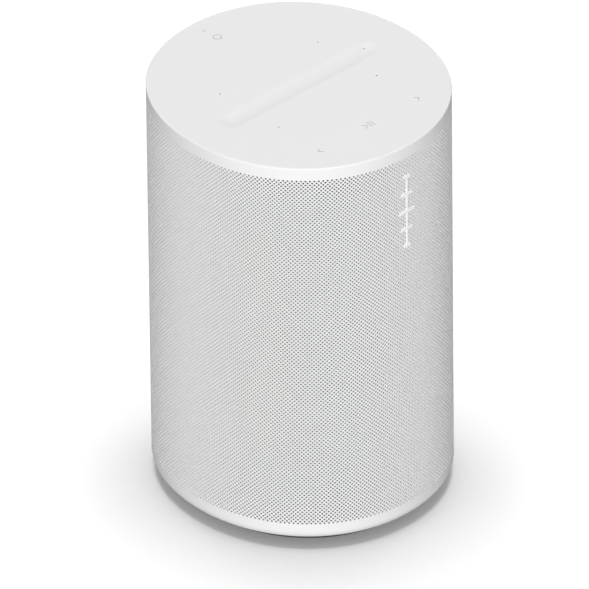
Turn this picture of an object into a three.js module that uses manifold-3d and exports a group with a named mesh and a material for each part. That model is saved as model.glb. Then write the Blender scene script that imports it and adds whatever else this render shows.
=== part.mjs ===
// A tabletop smart speaker: an oval perforated housing with a flat touch plate on top, a control
// panel at the back, and a sealed cabinet inside that holds one woofer and two angled tweeters.
// Millimetres, +Z up. The origin is on the table, under the middle of the foot. The front faces -Y.
import * as THREE from "three";
import { mergeVertices } from "three/addons/utils/BufferGeometryUtils.js";
import Module from "manifold-3d";

// ---- Driving dimensions ----

// Overall form. The plan is a superellipse: with a power of 2 it would be a plain ellipse. The
// height, 186.5, is the stack of foot, power supply, woofer, tweeters and top bay.
const WIDTH = 120;
const DEPTH = 126.5;
const OVAL_POWER = 2.06;
const CLEARANCE = 0.3; // between neighbours that fit into each other

// Housing
const SHADOW_GAP = 4.7; // height of the housing's lower edge above the table
const WALL = 1.6;
const LOWER_ROUND = 3.8; // radius of the lower edge
const LIP_REACH = 4.2; // how far the lower lip reaches in from the outside
const LIP_HEIGHT = 1.5;
const RIM_ROUND = 0.35;
const RIM_WIDTH = 0.6; // the narrow ring of housing that frames the top plate
const LEDGE_REACH = 4;
const LEDGE_THICKNESS = 1.5;
const LINER_THICKNESS = 0.6;
const LINER_MARGIN = 4; // how far the liner stops short of the lip and of the ledge

// Front mark: a plain level-meter sign, a column of bars on a thin spine
const MARK_BARS = [3.6, 6.2, 8.5, 6.2, 3.6]; // widths, from the top bar down
const MARK_BAR_HEIGHT = 1.6;
const MARK_HEIGHT = 35;
const MARK_TOP = 14; // below the rim
const MARK_THICKNESS = 0.6; // sunk into the housing's front
const MARK_RAISE = 0.3; // and standing out of it
const MARK_SPINE = 1;

// Top plate, its volume trough and its microphones
const PLATE_THICKNESS = 2;
const SEAL_THICKNESS = 0.4;
const TROUGH_END_MARGIN = 17.75; // from the housing's side to the trough's end
const TROUGH_WIDTH = 9.5;
const TROUGH_DEPTH = 0.9;
const TROUGH_WALL = 1.8; // material left beside and under the trough
const TOUCH_BOARD_THICKNESS = 1.2;
const TOUCH_BOARD_INSET = 5;
const MIC_X = 27.4;
const MIC_REAR_Y = 17.6;
const MIC_FRONT_Y = -17.1;
const MIC_HOLE_RADIUS = 0.45;
const MIC_DUCT_RADIUS = 0.7;
const MIC_BOOT_RADIUS = 2.5;
const MIC_BOOT_HEIGHT = 1.6;
const STATUS_LIGHT_FROM_BACK = 7.15; // from the housing's back to the middle of the light
const STATUS_LIGHT_RADIUS = 0.6;
const LIGHT_GUIDE_FLANGE = 1.5;
const LIGHT_GUIDE_LENGTH = 6;
const LIGHT_GUIDE_FLANGE_HEIGHT = 1.4;
const FRAME_WIDTH = 10;
const FRAME_THICKNESS = 2.5;
const FRAME_POST_RADIUS = 3;
const FRAME_POST_ANGLE = 35; // degrees from X

// Sealed cabinet
const CABINET_GAP = 0.9; // from the liner to the cabinet's side
const CABINET_WALL = 2.5;
const BAFFLE_THICKNESS = 3;
const BAFFLE_FROM_FRONT = 29.25; // from the housing's front to the face of the baffle
const BAY_DEPTH = 21.25; // room for the main board, from the cabinet's back to the housing's back
const CABINET_SPLIT_Y = 20;
const GASKET_THICKNESS = 1;
const BASE_BAY_HEIGHT = 28; // room for the power supply, between base plate and cabinet
const TOP_BAY_HEIGHT = 14; // room under the top plate

// Woofer. Its own profiles are given as radius and height ahead of the baffle.
const WOOFER_SIDE_MARGIN = 2.2; // from the flange to the baffle's side edges
const WOOFER_FLOOR_MARGIN = 4.8; // from the flange to the cabinet's underside
const FLANGE_WIDTH = 7; // what the flange covers of the baffle
const FLANGE_THICKNESS = 2.5;
const ROLL_ROOM = 6.8; // from the cone's rim to the opening in the baffle
const BASKET_DEPTH = 26.5;
const COIL_RADIUS = 13;
const COIL_WALL = 0.7;
const COIL_GAP = 0.6; // running gap on each side of the voice coil
const MAGNET_THICKNESS = 12;
const MAGNET_RADIUS = 30;
const TOP_PLATE_THICKNESS = 3.2;
const YOKE_THICKNESS = 4;
const MEMBRANE = 0.7; // thickness of the cone, the surround and the spider
const WOOFER_SCREW_INSET = 2.7; // from the flange's edge to the screws' centres

// Tweeters
const TWEETER_ANGLE = 30; // degrees, turned out to each side
const TWEETER_SIDE_ROOM = 26; // what two flange radii leave of half the width
const TWEETER_MIDDLE_GAP = 8.3; // from the middle to each flange's inner edge
const TWEETER_FROM_FRONT = 18.25; // from the housing's front to the middle of the tweeter's face
const TWEETER_GAP = 2; // from the woofer's flange up to the pods
const TWEETER_HEADROOM = 3.7; // from the pods up to the cabinet's top
const TWEETER_POD_BORDER = 2; // pod beyond the flange
const TWEETER_FLANGE_WIDTH = 4; // flange beyond the cup
const TWEETER_DOME_BORDER = 8; // flange beyond the dome
const TWEETER_CUP_DEPTH = 14;

// Screws
const SCREW_RADIUS = 1.5;
const SCREW_HEAD_RADIUS = 2.7;
const SCREW_HEAD_HEIGHT = 1.8;

// Rear panel and its controls. Heights are above the table.
const PANEL_WIDTH = 34;
const PANEL_LOW = 11;
const PANEL_HIGH = 112;
const PANEL_SINK = 0.15; // of the rear panel's face, below the housing's outside
const PANEL_THICKNESS = 2.6;
const BUTTON_Z = 98;
const BUTTON_RADIUS = 4;
const BUTTON_TRAVEL = 0.6;
const SWITCH_Z = 82;
const SWITCH_WIDTH = 5;
const SWITCH_HEIGHT = 6;
const SWITCH_TRAVEL = 3;
const SWITCH_FLANGE_HEIGHT = 16;
const CONTROL_SINK = 0.35; // how far the controls stay below the housing's outermost line
const CONTROL_FLANGE = 1;
const SOCKET_Z = 66;
const SOCKET_WIDTH = 9.6;
const SOCKET_HEIGHT = 3.8;
const SOCKET_WALL = 0.6;
const INLET_Z = 23;
const INLET_WIDTH = 19.4;
const INLET_HEIGHT = 12.6;
const INLET_DEPTH = 17;
const INLET_SINK = 1.75;
const INLET_MOUTH_HALF_SPAN = 3.3;
const INLET_MOUTH_RADIUS = 4.2;
const INLET_MOUTH_DEPTH = 12;
const PIN_RADIUS = 1.2;
const PIN_SPACING = 8.6;
const PIN_LENGTH = 9;

// Electronics
const BOARD_THICKNESS = 1.6;
const MAIN_BOARD_WIDTH = 56;
const MAIN_BOARD_LOW = 44;
const MAIN_BOARD_DROP = 30.5; // from the cabinet's top to the board's top edge
const MAIN_BOARD_FROM_BACK = 11.65; // from the housing's back to the board's rear face
const POWER_BOARD_SIDE_MARGIN = 5; // to the posts of the base plate
const POWER_BOARD_END_MARGIN = 25.25; // to the housing's front and back
const POWER_BOARD_LIFT = 4; // above the floor of the base plate
const RIBBON_WIDTH = 14;
const RIBBON_THICKNESS = 0.5;

// Base
const FOOT_HEIGHT = 3.5;
const FOOT_OUTER_INSET = 8;
const FOOT_WIDTH = 12;
const FOOT_CHAMFER = 0.6;
const BASE_FLOOR = 2.5;
const BASE_FLANGE = 2;
const POST_ANGLE = 33; // degrees from X
const POST_RADIUS = 3.5;
const INSERT_RADIUS = 4.5;
const INSERT_BORE = 2.4;
const INSERT_LENGTH = 6;
const INSERT_WALL = 3;

// Facets
const OVAL_FACETS = 56;
const ROUND_FACETS = 24;
const SMALL_FACETS = 12;
const DRIVER_FACETS = 24; // of a control, a tweeter or the threaded insert
const TINY_FACETS = 8;

// ---- Derived positions ----

const HALF_WIDTH = WIDTH / 2;
const HALF_DEPTH = DEPTH / 2;
const AXIS = HALF_WIDTH; // the inset that reaches the vertical axis

// Half the width of the plan, drawn in by an inset, at a distance in front of the middle.
function halfWidthAt(y, inset) {
  const share = (Math.abs(y) / (HALF_DEPTH - inset)) ** OVAL_POWER;
  return (HALF_WIDTH - inset) * (1 - share) ** (1 / OVAL_POWER);
}

const LIP_TOP = SHADOW_GAP + LIP_HEIGHT;
const BASE_FLOOR_TOP = FOOT_HEIGHT + BASE_FLOOR;
const CABINET_INSET = WALL + CLEARANCE + LINER_THICKNESS + CABINET_GAP;
const CABINET_BOTTOM = BASE_FLOOR_TOP + BASE_BAY_HEIGHT;
const CABINET_BACK_Y = HALF_DEPTH - BAY_DEPTH;
const BAFFLE_Y = -HALF_DEPTH + BAFFLE_FROM_FRONT;
// The woofer is the largest that the baffle takes, in steps of half a millimetre.
const WOOFER_ROOM = halfWidthAt(BAFFLE_Y, CABINET_INSET) - WOOFER_SIDE_MARGIN;
const WOOFER_RADIUS = Math.floor(2 * WOOFER_ROOM) / 2;
const WOOFER_Z = CABINET_BOTTOM + WOOFER_FLOOR_MARGIN + WOOFER_RADIUS;
const BASKET_RADIUS = WOOFER_RADIUS - FLANGE_WIDTH; // of the part that passes through the baffle
const CONE_RADIUS = BASKET_RADIUS - ROLL_ROOM;
const WOOFER_SCREW_CIRCLE = WOOFER_RADIUS - WOOFER_SCREW_INSET;
const TWEETER_TURN = THREE.MathUtils.degToRad(TWEETER_ANGLE);
const TWEETER_FLANGE_RADIUS = (HALF_WIDTH - TWEETER_SIDE_ROOM) / 2;
const TWEETER_POD_RADIUS = TWEETER_FLANGE_RADIUS + TWEETER_POD_BORDER;
const TWEETER_CUP_RADIUS = TWEETER_FLANGE_RADIUS - TWEETER_FLANGE_WIDTH;
const TWEETER_DOME_RADIUS = TWEETER_FLANGE_RADIUS - TWEETER_DOME_BORDER;
const TWEETER_X = TWEETER_MIDDLE_GAP + TWEETER_FLANGE_RADIUS * Math.cos(TWEETER_TURN);
const TWEETER_Y = -HALF_DEPTH + TWEETER_FROM_FRONT;
const TWEETER_Z = WOOFER_Z + WOOFER_RADIUS + TWEETER_GAP + TWEETER_POD_RADIUS;
const CABINET_TOP = TWEETER_Z + TWEETER_POD_RADIUS + TWEETER_HEADROOM;
const HEIGHT = CABINET_TOP + TOP_BAY_HEIGHT;
const TROUGH_HALF_SPAN = HALF_WIDTH - TROUGH_END_MARGIN - TROUGH_WIDTH / 2;
const MAIN_BOARD_HIGH = CABINET_TOP - MAIN_BOARD_DROP;
const PLATE_BOTTOM = HEIGHT - PLATE_THICKNESS;
const LEDGE_TOP = PLATE_BOTTOM - SEAL_THICKNESS;
const LEDGE_BOTTOM = LEDGE_TOP - LEDGE_THICKNESS;
const TOUCH_BOARD_BOTTOM = PLATE_BOTTOM - TOUCH_BOARD_THICKNESS;
const BOARD_FACE_Y = HALF_DEPTH - MAIN_BOARD_FROM_BACK;
const PANEL_INSIDE_Y = HALF_DEPTH - PANEL_THICKNESS;
const CONTROL_FACE_Y = HALF_DEPTH - CONTROL_SINK;
const FAR = 2 * (WIDTH + DEPTH + HEIGHT); // longer than anything a cut has to pass through

// ---- Looks ----

const LOOKS = {
  shell: [0xf4f3f1, 0.55, 0],
  plate: [0xefeeec, 0.5, 0],
  darkPlastic: [0x26272a, 0.6, 0],
  greyPlastic: [0x55575b, 0.6, 0],
  rubber: [0x3c3d40, 0.85, 0],
  liner: [0x1b1c1e, 0.9, 0],
  mark: [0xf4f3f1, 0.5, 0],
  lightGuide: [0xfafafa, 0.3, 0],
  paper: [0x202124, 0.8, 0],
  textile: [0xa8884c, 0.9, 0],
  steel: [0xb9bcc0, 0.35, 1],
  aluminium: [0xc6c8cb, 0.4, 1],
  ferrite: [0x303134, 0.6, 0.3],
  copper: [0xb8733a, 0.35, 1],
  brass: [0xc7a557, 0.35, 1],
  circuitBoard: [0x1f5b38, 0.5, 0],
};

// ---- Solids ----

const wasm = await Module();
wasm.setup();

// A closed three.js geometry as a solid with merged vertices and faces that point out.
function solid(geometry) {
  const bare = geometry.index ? geometry.toNonIndexed() : geometry.clone();
  bare.deleteAttribute("normal");
  bare.deleteAttribute("uv");
  const merged = mergeVertices(bare, 1e-4);
  const corners = merged.index.array;
  const faces = [];
  for (let i = 0; i < corners.length; i += 3) {
    const [a, b, c] = corners.slice(i, i + 3);
    if (a !== b && b !== c && c !== a) faces.push(a, b, c);
  }
  const build = (triVerts) =>
    new wasm.Manifold(
      new wasm.Mesh({
        numProp: 3,
        vertProperties: merged.attributes.position.array,
        triVerts: new Uint32Array(triVerts),
      }),
    );
  const made = build(faces);
  return made.volume() > 0 ? made : build(faces.reverse());
}

const join = (...solids) => solids.reduce((whole, next) => whole.add(next));
const cut = (whole, ...tools) => tools.reduce((rest, tool) => rest.subtract(tool), whole);

// A solid turned about Z from a closed profile of [radius, z] points.
function turned(profile, facets = ROUND_FACETS) {
  const points = [...profile, profile[0]].map(([r, z]) => new THREE.Vector2(r, z));
  return new THREE.LatheGeometry(points, facets).rotateX(Math.PI / 2);
}

const signedPower = (value, power) => Math.sign(value) * Math.abs(value) ** power;

// A solid swept round the speaker's plan from a closed profile of [inset, z] points. The inset is
// measured from the outside, and AXIS puts a point on the vertical axis.
function oval(profile, facets = OVAL_FACETS) {
  const ring = turned(profile.map(([inset, z]) => [HALF_WIDTH - inset, z]), facets);
  const place = ring.attributes.position;
  for (let i = 0; i < place.count; i++) {
    const radius = Math.hypot(place.getX(i), place.getY(i));
    if (radius < 1e-6) continue;
    const across = signedPower(place.getX(i) / radius, 2 / OVAL_POWER);
    const along = signedPower(place.getY(i) / radius, 2 / OVAL_POWER);
    place.setXY(i, radius * across, (radius + HALF_DEPTH - HALF_WIDTH) * along);
  }
  return solid(ring);
}

// A solid oval disc between two heights.
const ovalDisc = (inset, low, high) =>
  oval([[AXIS, low], [inset, low], [inset, high], [AXIS, high]]);

// A box from its low corner to its high corner.
function block([x0, y0, z0], [x1, y1, z1]) {
  const box = new THREE.BoxGeometry(x1 - x0, y1 - y0, z1 - z0);
  return solid(box.translate((x0 + x1) / 2, (y0 + y1) / 2, (z0 + z1) / 2));
}

// An upright cylinder.
const post = (radius, low, high, x = 0, y = 0, facets = SMALL_FACETS) =>
  solid(turned([[0, low], [radius, low], [radius, high], [0, high]], facets).translate(x, y, 0));

// An upright tube.
const tube = (inner, outer, low, high, facets = ROUND_FACETS) =>
  solid(turned([[inner, low], [outer, low], [outer, high], [inner, high]], facets));

// A slab with a stadium outline: round ends at +-halfSpan, lying along X.
function stadium(halfSpan, radius, low, high, facets = SMALL_FACETS) {
  const outline = new THREE.Shape();
  outline.absarc(halfSpan, 0, radius, -Math.PI / 2, Math.PI / 2);
  outline.absarc(-halfSpan, 0, radius, Math.PI / 2, (3 * Math.PI) / 2);
  const shape = { depth: high - low, bevelEnabled: false, curveSegments: facets / 2 };
  return solid(new THREE.ExtrudeGeometry(outline, shape).translate(0, 0, low));
}

// The same solid with its top turned to face the back, +Y, and set down at a place.
const facingBack = (made, x, y, z) =>
  made.transform(matrixOf(new THREE.Matrix4().makeRotationX(-Math.PI / 2).setPosition(x, y, z)));
const matrixOf = (matrix) => matrix.elements.slice();

// A pan-head screw: its head stands on z = 0 and its shank goes down.
const screw = (length) =>
  solid(
    turned(
      [
        [0, -length],
        [SCREW_RADIUS, -length],
        [SCREW_RADIUS, 0],
        [SCREW_HEAD_RADIUS, 0],
        [SCREW_HEAD_RADIUS, SCREW_HEAD_HEIGHT * 0.6],
        [SCREW_HEAD_RADIUS * 0.6, SCREW_HEAD_HEIGHT],
        [0, SCREW_HEAD_HEIGHT],
      ],
      TINY_FACETS,
    ),
  );

// Four places on the plan drawn in by an inset, at an angle to each side of the X axis.
function fourPlaces(inset, degrees) {
  const angle = THREE.MathUtils.degToRad(degrees);
  const x = (HALF_WIDTH - inset) * Math.cos(angle);
  const y = (HALF_DEPTH - inset) * Math.sin(angle);
  return [[-x, -y], [x, -y], [x, y], [-x, y]];
}

// Points on a quarter or half circle, as [first, second] pairs.
function arc(centre, radius, from, to, steps) {
  return Array.from({ length: steps + 1 }, (_, i) => {
    const angle = THREE.MathUtils.degToRad(from + ((to - from) * i) / steps);
    return [centre[0] + radius * Math.cos(angle), centre[1] + radius * Math.sin(angle)];
  });
}

// ---- Scene graph ----

const speaker = new THREE.Group();

// Adds a named mesh of a solid to a group.
function add(name, look, made, group = speaker) {
  const { vertProperties, triVerts } = made.getMesh();
  const geometry = new THREE.BufferGeometry();
  geometry.setAttribute("position", new THREE.BufferAttribute(vertProperties, 3));
  geometry.setIndex(new THREE.BufferAttribute(triVerts, 1));
  const [color, roughness, metalness] = LOOKS[look];
  const material = new THREE.MeshStandardMaterial({
    color,
    roughness,
    metalness,
    flatShading: true,
  });
  const mesh = new THREE.Mesh(geometry, material);
  mesh.name = name;
  group.add(mesh);
  return mesh;
}

// ---- Housing, liner and front mark ----

// The stretch of the back that the rear panel fills, grown by a margin.
const panelSlot = (margin) =>
  block(
    [-PANEL_WIDTH / 2 - margin, 0, PANEL_LOW - margin],
    [PANEL_WIDTH / 2 + margin, FAR, PANEL_HIGH + margin],
  );

// The front mark's bars and spine between two depths behind the housing's front, grown by a margin.
function frontMark(front, back, margin) {
  const near = -HALF_DEPTH + front;
  const far = -HALF_DEPTH + back;
  const top = HEIGHT - MARK_TOP;
  const pitch = (MARK_HEIGHT - MARK_BAR_HEIGHT) / (MARK_BARS.length - 1);
  const spine = MARK_SPINE / 2 + margin;
  const low = top - MARK_HEIGHT + MARK_BAR_HEIGHT / 2 - margin;
  const bars = MARK_BARS.map((width, i) => {
    const z = top - MARK_BAR_HEIGHT / 2 - i * pitch;
    const halfHeight = MARK_BAR_HEIGHT / 2 + margin;
    const halfWidth = width / 2 + margin;
    return block([-halfWidth, near, z - halfHeight], [halfWidth, far, z + halfHeight]);
  });
  return join(block([-spine, near, low], [spine, far, top - margin]), ...bars);
}

function housing() {
  const lower = arc([LOWER_ROUND, SHADOW_GAP + LOWER_ROUND], LOWER_ROUND, 270, 180, 4);
  const rim = arc([RIM_ROUND, HEIGHT - RIM_ROUND], RIM_ROUND, 180, 90, 3);
  const sleeve = oval([
    ...lower,
    ...rim,
    [RIM_WIDTH, HEIGHT],
    [RIM_WIDTH, LEDGE_TOP],
    [LEDGE_REACH, LEDGE_TOP],
    [LEDGE_REACH, LEDGE_BOTTOM],
    [WALL, LEDGE_BOTTOM - (LEDGE_REACH - WALL)],
    [WALL, LIP_TOP],
    [LIP_REACH, LIP_TOP],
    [LIP_REACH, SHADOW_GAP],
  ]);
  const markPocket = frontMark(-FAR, MARK_THICKNESS + CLEARANCE, CLEARANCE);
  return cut(sleeve, panelSlot(CLEARANCE), markPocket);
}

function grilleLiner() {
  const outer = WALL + CLEARANCE;
  const inner = outer + LINER_THICKNESS;
  const low = LIP_TOP + LINER_MARGIN;
  const high = LEDGE_BOTTOM - (LEDGE_REACH - WALL) - LINER_MARGIN;
  const sleeve = oval([[outer, low], [outer, high], [inner, high], [inner, low]]);
  return cut(sleeve, panelSlot(2 * CLEARANCE));
}

add("housing", "shell", housing());
add("grille_liner", "liner", grilleLiner());
add("front_mark", "mark", frontMark(-MARK_RAISE, MARK_THICKNESS, 0));

// ---- Top plate and what hangs under it ----

const MIC_PLACES = [
  [-MIC_X, MIC_FRONT_Y],
  [MIC_X, MIC_FRONT_Y],
  [MIC_X, MIC_REAR_Y],
  [-MIC_X, MIC_REAR_Y],
];
const STATUS_LIGHT_Y = HALF_DEPTH - STATUS_LIGHT_FROM_BACK;
const TROUGH_BOSS_RADIUS = TROUGH_WIDTH / 2 + TROUGH_WALL;

// The trough's cutter: a bar of round section with ball ends, sunk into the top surface.
function troughCutter() {
  const radius = ((TROUGH_WIDTH / 2) ** 2 + TROUGH_DEPTH ** 2) / (2 * TROUGH_DEPTH);
  const bar = new THREE.CapsuleGeometry(radius, 2 * TROUGH_HALF_SPAN, 8, 32).rotateZ(Math.PI / 2);
  return solid(bar.translate(0, 0, HEIGHT - TROUGH_DEPTH + radius));
}

function topPlate() {
  const edge = RIM_WIDTH + CLEARANCE;
  const disc = ovalDisc(edge, PLATE_BOTTOM, HEIGHT);
  const bossLow = HEIGHT - TROUGH_DEPTH - TROUGH_WALL;
  const boss = stadium(TROUGH_HALF_SPAN, TROUGH_BOSS_RADIUS, bossLow, HEIGHT - TROUGH_DEPTH);
  const holes = MIC_PLACES.map(([x, y]) => post(MIC_HOLE_RADIUS, 0, FAR, x, y, TINY_FACETS));
  const lightHole = post(STATUS_LIGHT_RADIUS + CLEARANCE, 0, FAR, 0, STATUS_LIGHT_Y, TINY_FACETS);
  return cut(join(disc, boss), troughCutter(), lightHole, ...holes);
}

function plateSeal() {
  const outer = RIM_WIDTH + CLEARANCE;
  const inner = LEDGE_REACH - CLEARANCE;
  return oval([[outer, LEDGE_TOP], [outer, PLATE_BOTTOM], [inner, PLATE_BOTTOM], [inner, LEDGE_TOP]]);
}

function touchBoard() {
  const disc = ovalDisc(TOUCH_BOARD_INSET, TOUCH_BOARD_BOTTOM, PLATE_BOTTOM);
  const slot = stadium(TROUGH_HALF_SPAN, TROUGH_BOSS_RADIUS + CLEARANCE, 0, FAR);
  const ducts = MIC_PLACES.map(([x, y]) => post(MIC_DUCT_RADIUS, 0, FAR, x, y, TINY_FACETS));
  const lightHole = post(STATUS_LIGHT_RADIUS + CLEARANCE, 0, FAR, 0, STATUS_LIGHT_Y, TINY_FACETS);
  return cut(disc, slot, lightHole, ...ducts);
}

const lightGuide = () =>
  solid(
    turned(
      [
        [0, HEIGHT - LIGHT_GUIDE_LENGTH],
        [LIGHT_GUIDE_FLANGE, HEIGHT - LIGHT_GUIDE_LENGTH],
        [LIGHT_GUIDE_FLANGE, HEIGHT - LIGHT_GUIDE_LENGTH + LIGHT_GUIDE_FLANGE_HEIGHT],
        [STATUS_LIGHT_RADIUS, HEIGHT - LIGHT_GUIDE_LENGTH + LIGHT_GUIDE_FLANGE_HEIGHT],
        [STATUS_LIGHT_RADIUS, HEIGHT],
        [0, HEIGHT],
      ],
      TINY_FACETS,
    ).translate(0, STATUS_LIGHT_Y, 0),
  );

// A ring that stands on the cabinet on four posts and carries the touch board.
function topFrame() {
  const high = TOUCH_BOARD_BOTTOM - MIC_BOOT_HEIGHT - CLEARANCE;
  const low = high - FRAME_THICKNESS;
  const outer = LEDGE_REACH + 1;
  const inner = outer + FRAME_WIDTH;
  const ring = oval([[outer, low], [outer, high], [inner, high], [inner, low]]);
  const posts = fourPlaces(outer + FRAME_WIDTH / 2, FRAME_POST_ANGLE).map(([x, y]) =>
    post(FRAME_POST_RADIUS, CABINET_TOP, TOUCH_BOARD_BOTTOM, x, y),
  );
  const lightWay = post(LIGHT_GUIDE_FLANGE + CLEARANCE, 0, FAR, 0, STATUS_LIGHT_Y, TINY_FACETS);
  return cut(join(ring, ...posts), lightWay);
}

add("top_plate", "plate", topPlate());
add("plate_seal", "rubber", plateSeal());
add("touch_board", "circuitBoard", touchBoard());
add("status_light_guide", "lightGuide", lightGuide());
MIC_PLACES.forEach(([x, y], i) => {
  const low = TOUCH_BOARD_BOTTOM - MIC_BOOT_HEIGHT;
  const boot = tube(MIC_DUCT_RADIUS, MIC_BOOT_RADIUS, low, TOUCH_BOARD_BOTTOM, SMALL_FACETS);
  add(`mic_boot_${i + 1}`, "rubber", boot).position.set(x, y, 0);
});
add("top_frame", "greyPlastic", topFrame());

// ---- Cabinet ----

// The tweeters' frame: the origin is the middle of the pod's face, and +Z points where it fires.
function tweeterMatrix(side) {
  const turn = new THREE.Matrix4().makeRotationZ(side * TWEETER_TURN);
  turn.multiply(new THREE.Matrix4().makeRotationX(Math.PI / 2));
  return turn.setPosition(side * TWEETER_X, TWEETER_Y, TWEETER_Z);
}
const atTweeter = (made, side) => made.transform(matrixOf(tweeterMatrix(side)));

// The woofer's frame: the origin is on the baffle, and +Z points to the front.
const wooferMatrix = new THREE.Matrix4().makeRotationX(Math.PI / 2);
wooferMatrix.setPosition(0, BAFFLE_Y, WOOFER_Z);
const atWoofer = (made) => made.transform(matrixOf(wooferMatrix));

const WOOFER_SCREW_PLACES = [45, 135, 225, 315].map((degrees) => {
  const angle = THREE.MathUtils.degToRad(degrees);
  return [WOOFER_SCREW_CIRCLE * Math.cos(angle), WOOFER_SCREW_CIRCLE * Math.sin(angle)];
});
const wooferScrewHoles = WOOFER_SCREW_PLACES.map(([x, y]) =>
  post(SCREW_RADIUS + CLEARANCE, -BAFFLE_THICKNESS * 2, FLANGE_THICKNESS * 2, x, y, TINY_FACETS),
);
const TWEETER_BORE = TWEETER_CUP_RADIUS + 2;
const CUT_DEPTH = 35; // how far a bore runs behind the tweeter's face
const CUT_PROUD = 10; // and in front of it
const POD_LENGTH = 45; // long enough to end behind the baffle

function cabinet() {
  const between = (front, back) => block([-FAR, front, -FAR], [FAR, back, FAR]);
  const outside = ovalDisc(CABINET_INSET, CABINET_BOTTOM, CABINET_TOP).intersect(
    between(BAFFLE_Y, CABINET_BACK_Y),
  );
  const inside = ovalDisc(
    CABINET_INSET + CABINET_WALL,
    CABINET_BOTTOM + CABINET_WALL,
    CABINET_TOP - CABINET_WALL,
  ).intersect(between(BAFFLE_Y + BAFFLE_THICKNESS, CABINET_BACK_Y - CABINET_WALL));
  const wooferHole = atWoofer(
    post(BASKET_RADIUS + CLEARANCE, -BAFFLE_THICKNESS * 2, CUT_PROUD, 0, 0, ROUND_FACETS),
  );
  const tweeterHoles = [-1, 1].map((side) =>
    atTweeter(post(TWEETER_BORE, -CUT_DEPTH, CUT_PROUD, 0, 0, DRIVER_FACETS), side),
  );
  const shell = cut(
    outside,
    inside,
    wooferHole,
    ...wooferScrewHoles.map(atWoofer),
    ...tweeterHoles,
  );
  const half = GASKET_THICKNESS / 2;
  const seam = half + CLEARANCE;
  return {
    front: shell.intersect(between(-FAR, CABINET_SPLIT_Y - seam)),
    gasket: shell.intersect(between(CABINET_SPLIT_Y - half, CABINET_SPLIT_Y + half)),
    rear: shell.intersect(between(CABINET_SPLIT_Y + seam, FAR)),
  };
}

const cabinetParts = cabinet();
add("cabinet_front", "darkPlastic", cabinetParts.front);
add("cabinet_gasket", "rubber", cabinetParts.gasket);
add("cabinet_rear", "darkPlastic", cabinetParts.rear);

// ---- Woofer ----

const woofer = new THREE.Group();
woofer.position.set(0, BAFFLE_Y, WOOFER_Z);
woofer.rotation.x = Math.PI / 2;
speaker.add(woofer);

const SURROUND_SEAT = FLANGE_THICKNESS; // height of the plane that cone and surround share
const MOUTH_ROOM = 4.3; // between the cone and the basket's mouth
const BASKET_MOUTH = CONE_RADIUS + MOUTH_ROOM;
const BASKET_REAR_RADIUS = COIL_RADIUS + 9;
const POLE_RADIUS = COIL_RADIUS - COIL_WALL - COIL_GAP;
const PLATE_BORE = COIL_RADIUS + COIL_GAP;
const NECK = -11.5; // height of the cone's neck
const BASKET_WALL = 2;
const BASKET_RIM = 1; // depth of the basket's mouth
const BASKET_TAPER = 1.5;
const CONE_LIP = 2.6; // width of the cone's flat rim
const ROLL_RADIUS = 2.5;
const ROLL_SHIFT = 0.65; // of the half roll, out from the middle of its gap
const ROLL_FOOT = 1.7; // how far the roll's inner edge lies on the cone
const ROLL_SEAT = 3.7; // how far its outer edge lies on the flange
const ROLL_STEPS = 5;
const SPIDER_HEIGHT = -17;
const SPIDER_WAVE = 0.7;
const SPIDER_STEPS = 6;
const SPIDER_SEAT = 1.8; // how far it passes the basket's rear
const DUST_CAP_EDGE = 3; // past the coil, and above the neck
const DUST_CAP_GLUE = 0.2;
const DUST_CAP_RISE = 5;
const COIL_LOW = -30;
const MAGNET_STEP = 2; // how far the magnet passes its steel plates
const MAGNET_BORE = 3; // past the coil
const COIL_SLACK = 0.2; // more room for the coil in the steel plate than in the basket
const WOOFER_SCREW_LENGTH = 9;

function wooferBasket() {
  const bowl = solid(
    turned([
      [WOOFER_RADIUS, 0],
      [WOOFER_RADIUS, FLANGE_THICKNESS],
      [BASKET_MOUTH, FLANGE_THICKNESS],
      [BASKET_MOUTH, BASKET_RIM],
      [BASKET_REAR_RADIUS - BASKET_TAPER, -BASKET_DEPTH + BASKET_WALL],
      [PLATE_BORE, -BASKET_DEPTH + BASKET_WALL],
      [PLATE_BORE, -BASKET_DEPTH],
      [BASKET_REAR_RADIUS, -BASKET_DEPTH],
      [BASKET_RADIUS, 0],
    ]),
  );
  const [radius, length] = [7, 30];
  const windows = [0, 90, 180, 270].map((degrees) => {
    const round = new THREE.CylinderGeometry(radius, radius, length, TINY_FACETS);
    const tool = round.rotateZ(Math.PI / 2);
    tool.translate(BASKET_REAR_RADIUS + length / 2, 0, -BASKET_DEPTH / 2 - 1);
    return solid(tool.rotateZ(THREE.MathUtils.degToRad(degrees)));
  });
  return cut(bowl, ...windows, ...wooferScrewHoles);
}

function wooferCone() {
  const seat = SURROUND_SEAT;
  return solid(
    turned([
      [CONE_RADIUS - CONE_LIP, seat],
      [CONE_RADIUS, seat],
      [CONE_RADIUS, seat - MEMBRANE],
      [CONE_RADIUS - CONE_LIP + 1, seat - MEMBRANE],
      [COIL_RADIUS + CLEARANCE, NECK - 1.2 * MEMBRANE],
      [COIL_RADIUS + CLEARANCE, NECK],
    ]),
  );
}

// A half roll of rubber between the cone's rim and the basket's flange.
function wooferSurround() {
  const seat = SURROUND_SEAT;
  const top = seat + MEMBRANE;
  const middle = (CONE_RADIUS + BASKET_MOUTH) / 2 + ROLL_SHIFT;
  return solid(
    turned([
      [CONE_RADIUS - ROLL_FOOT, top],
      ...arc([middle, top], ROLL_RADIUS, 180, 0, ROLL_STEPS),
      [BASKET_MOUTH + ROLL_SEAT, top],
      [BASKET_MOUTH + ROLL_SEAT, seat],
      ...arc([middle, seat], ROLL_RADIUS - MEMBRANE, 0, 180, ROLL_STEPS),
      [CONE_RADIUS - ROLL_FOOT, seat],
    ]),
  );
}

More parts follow.
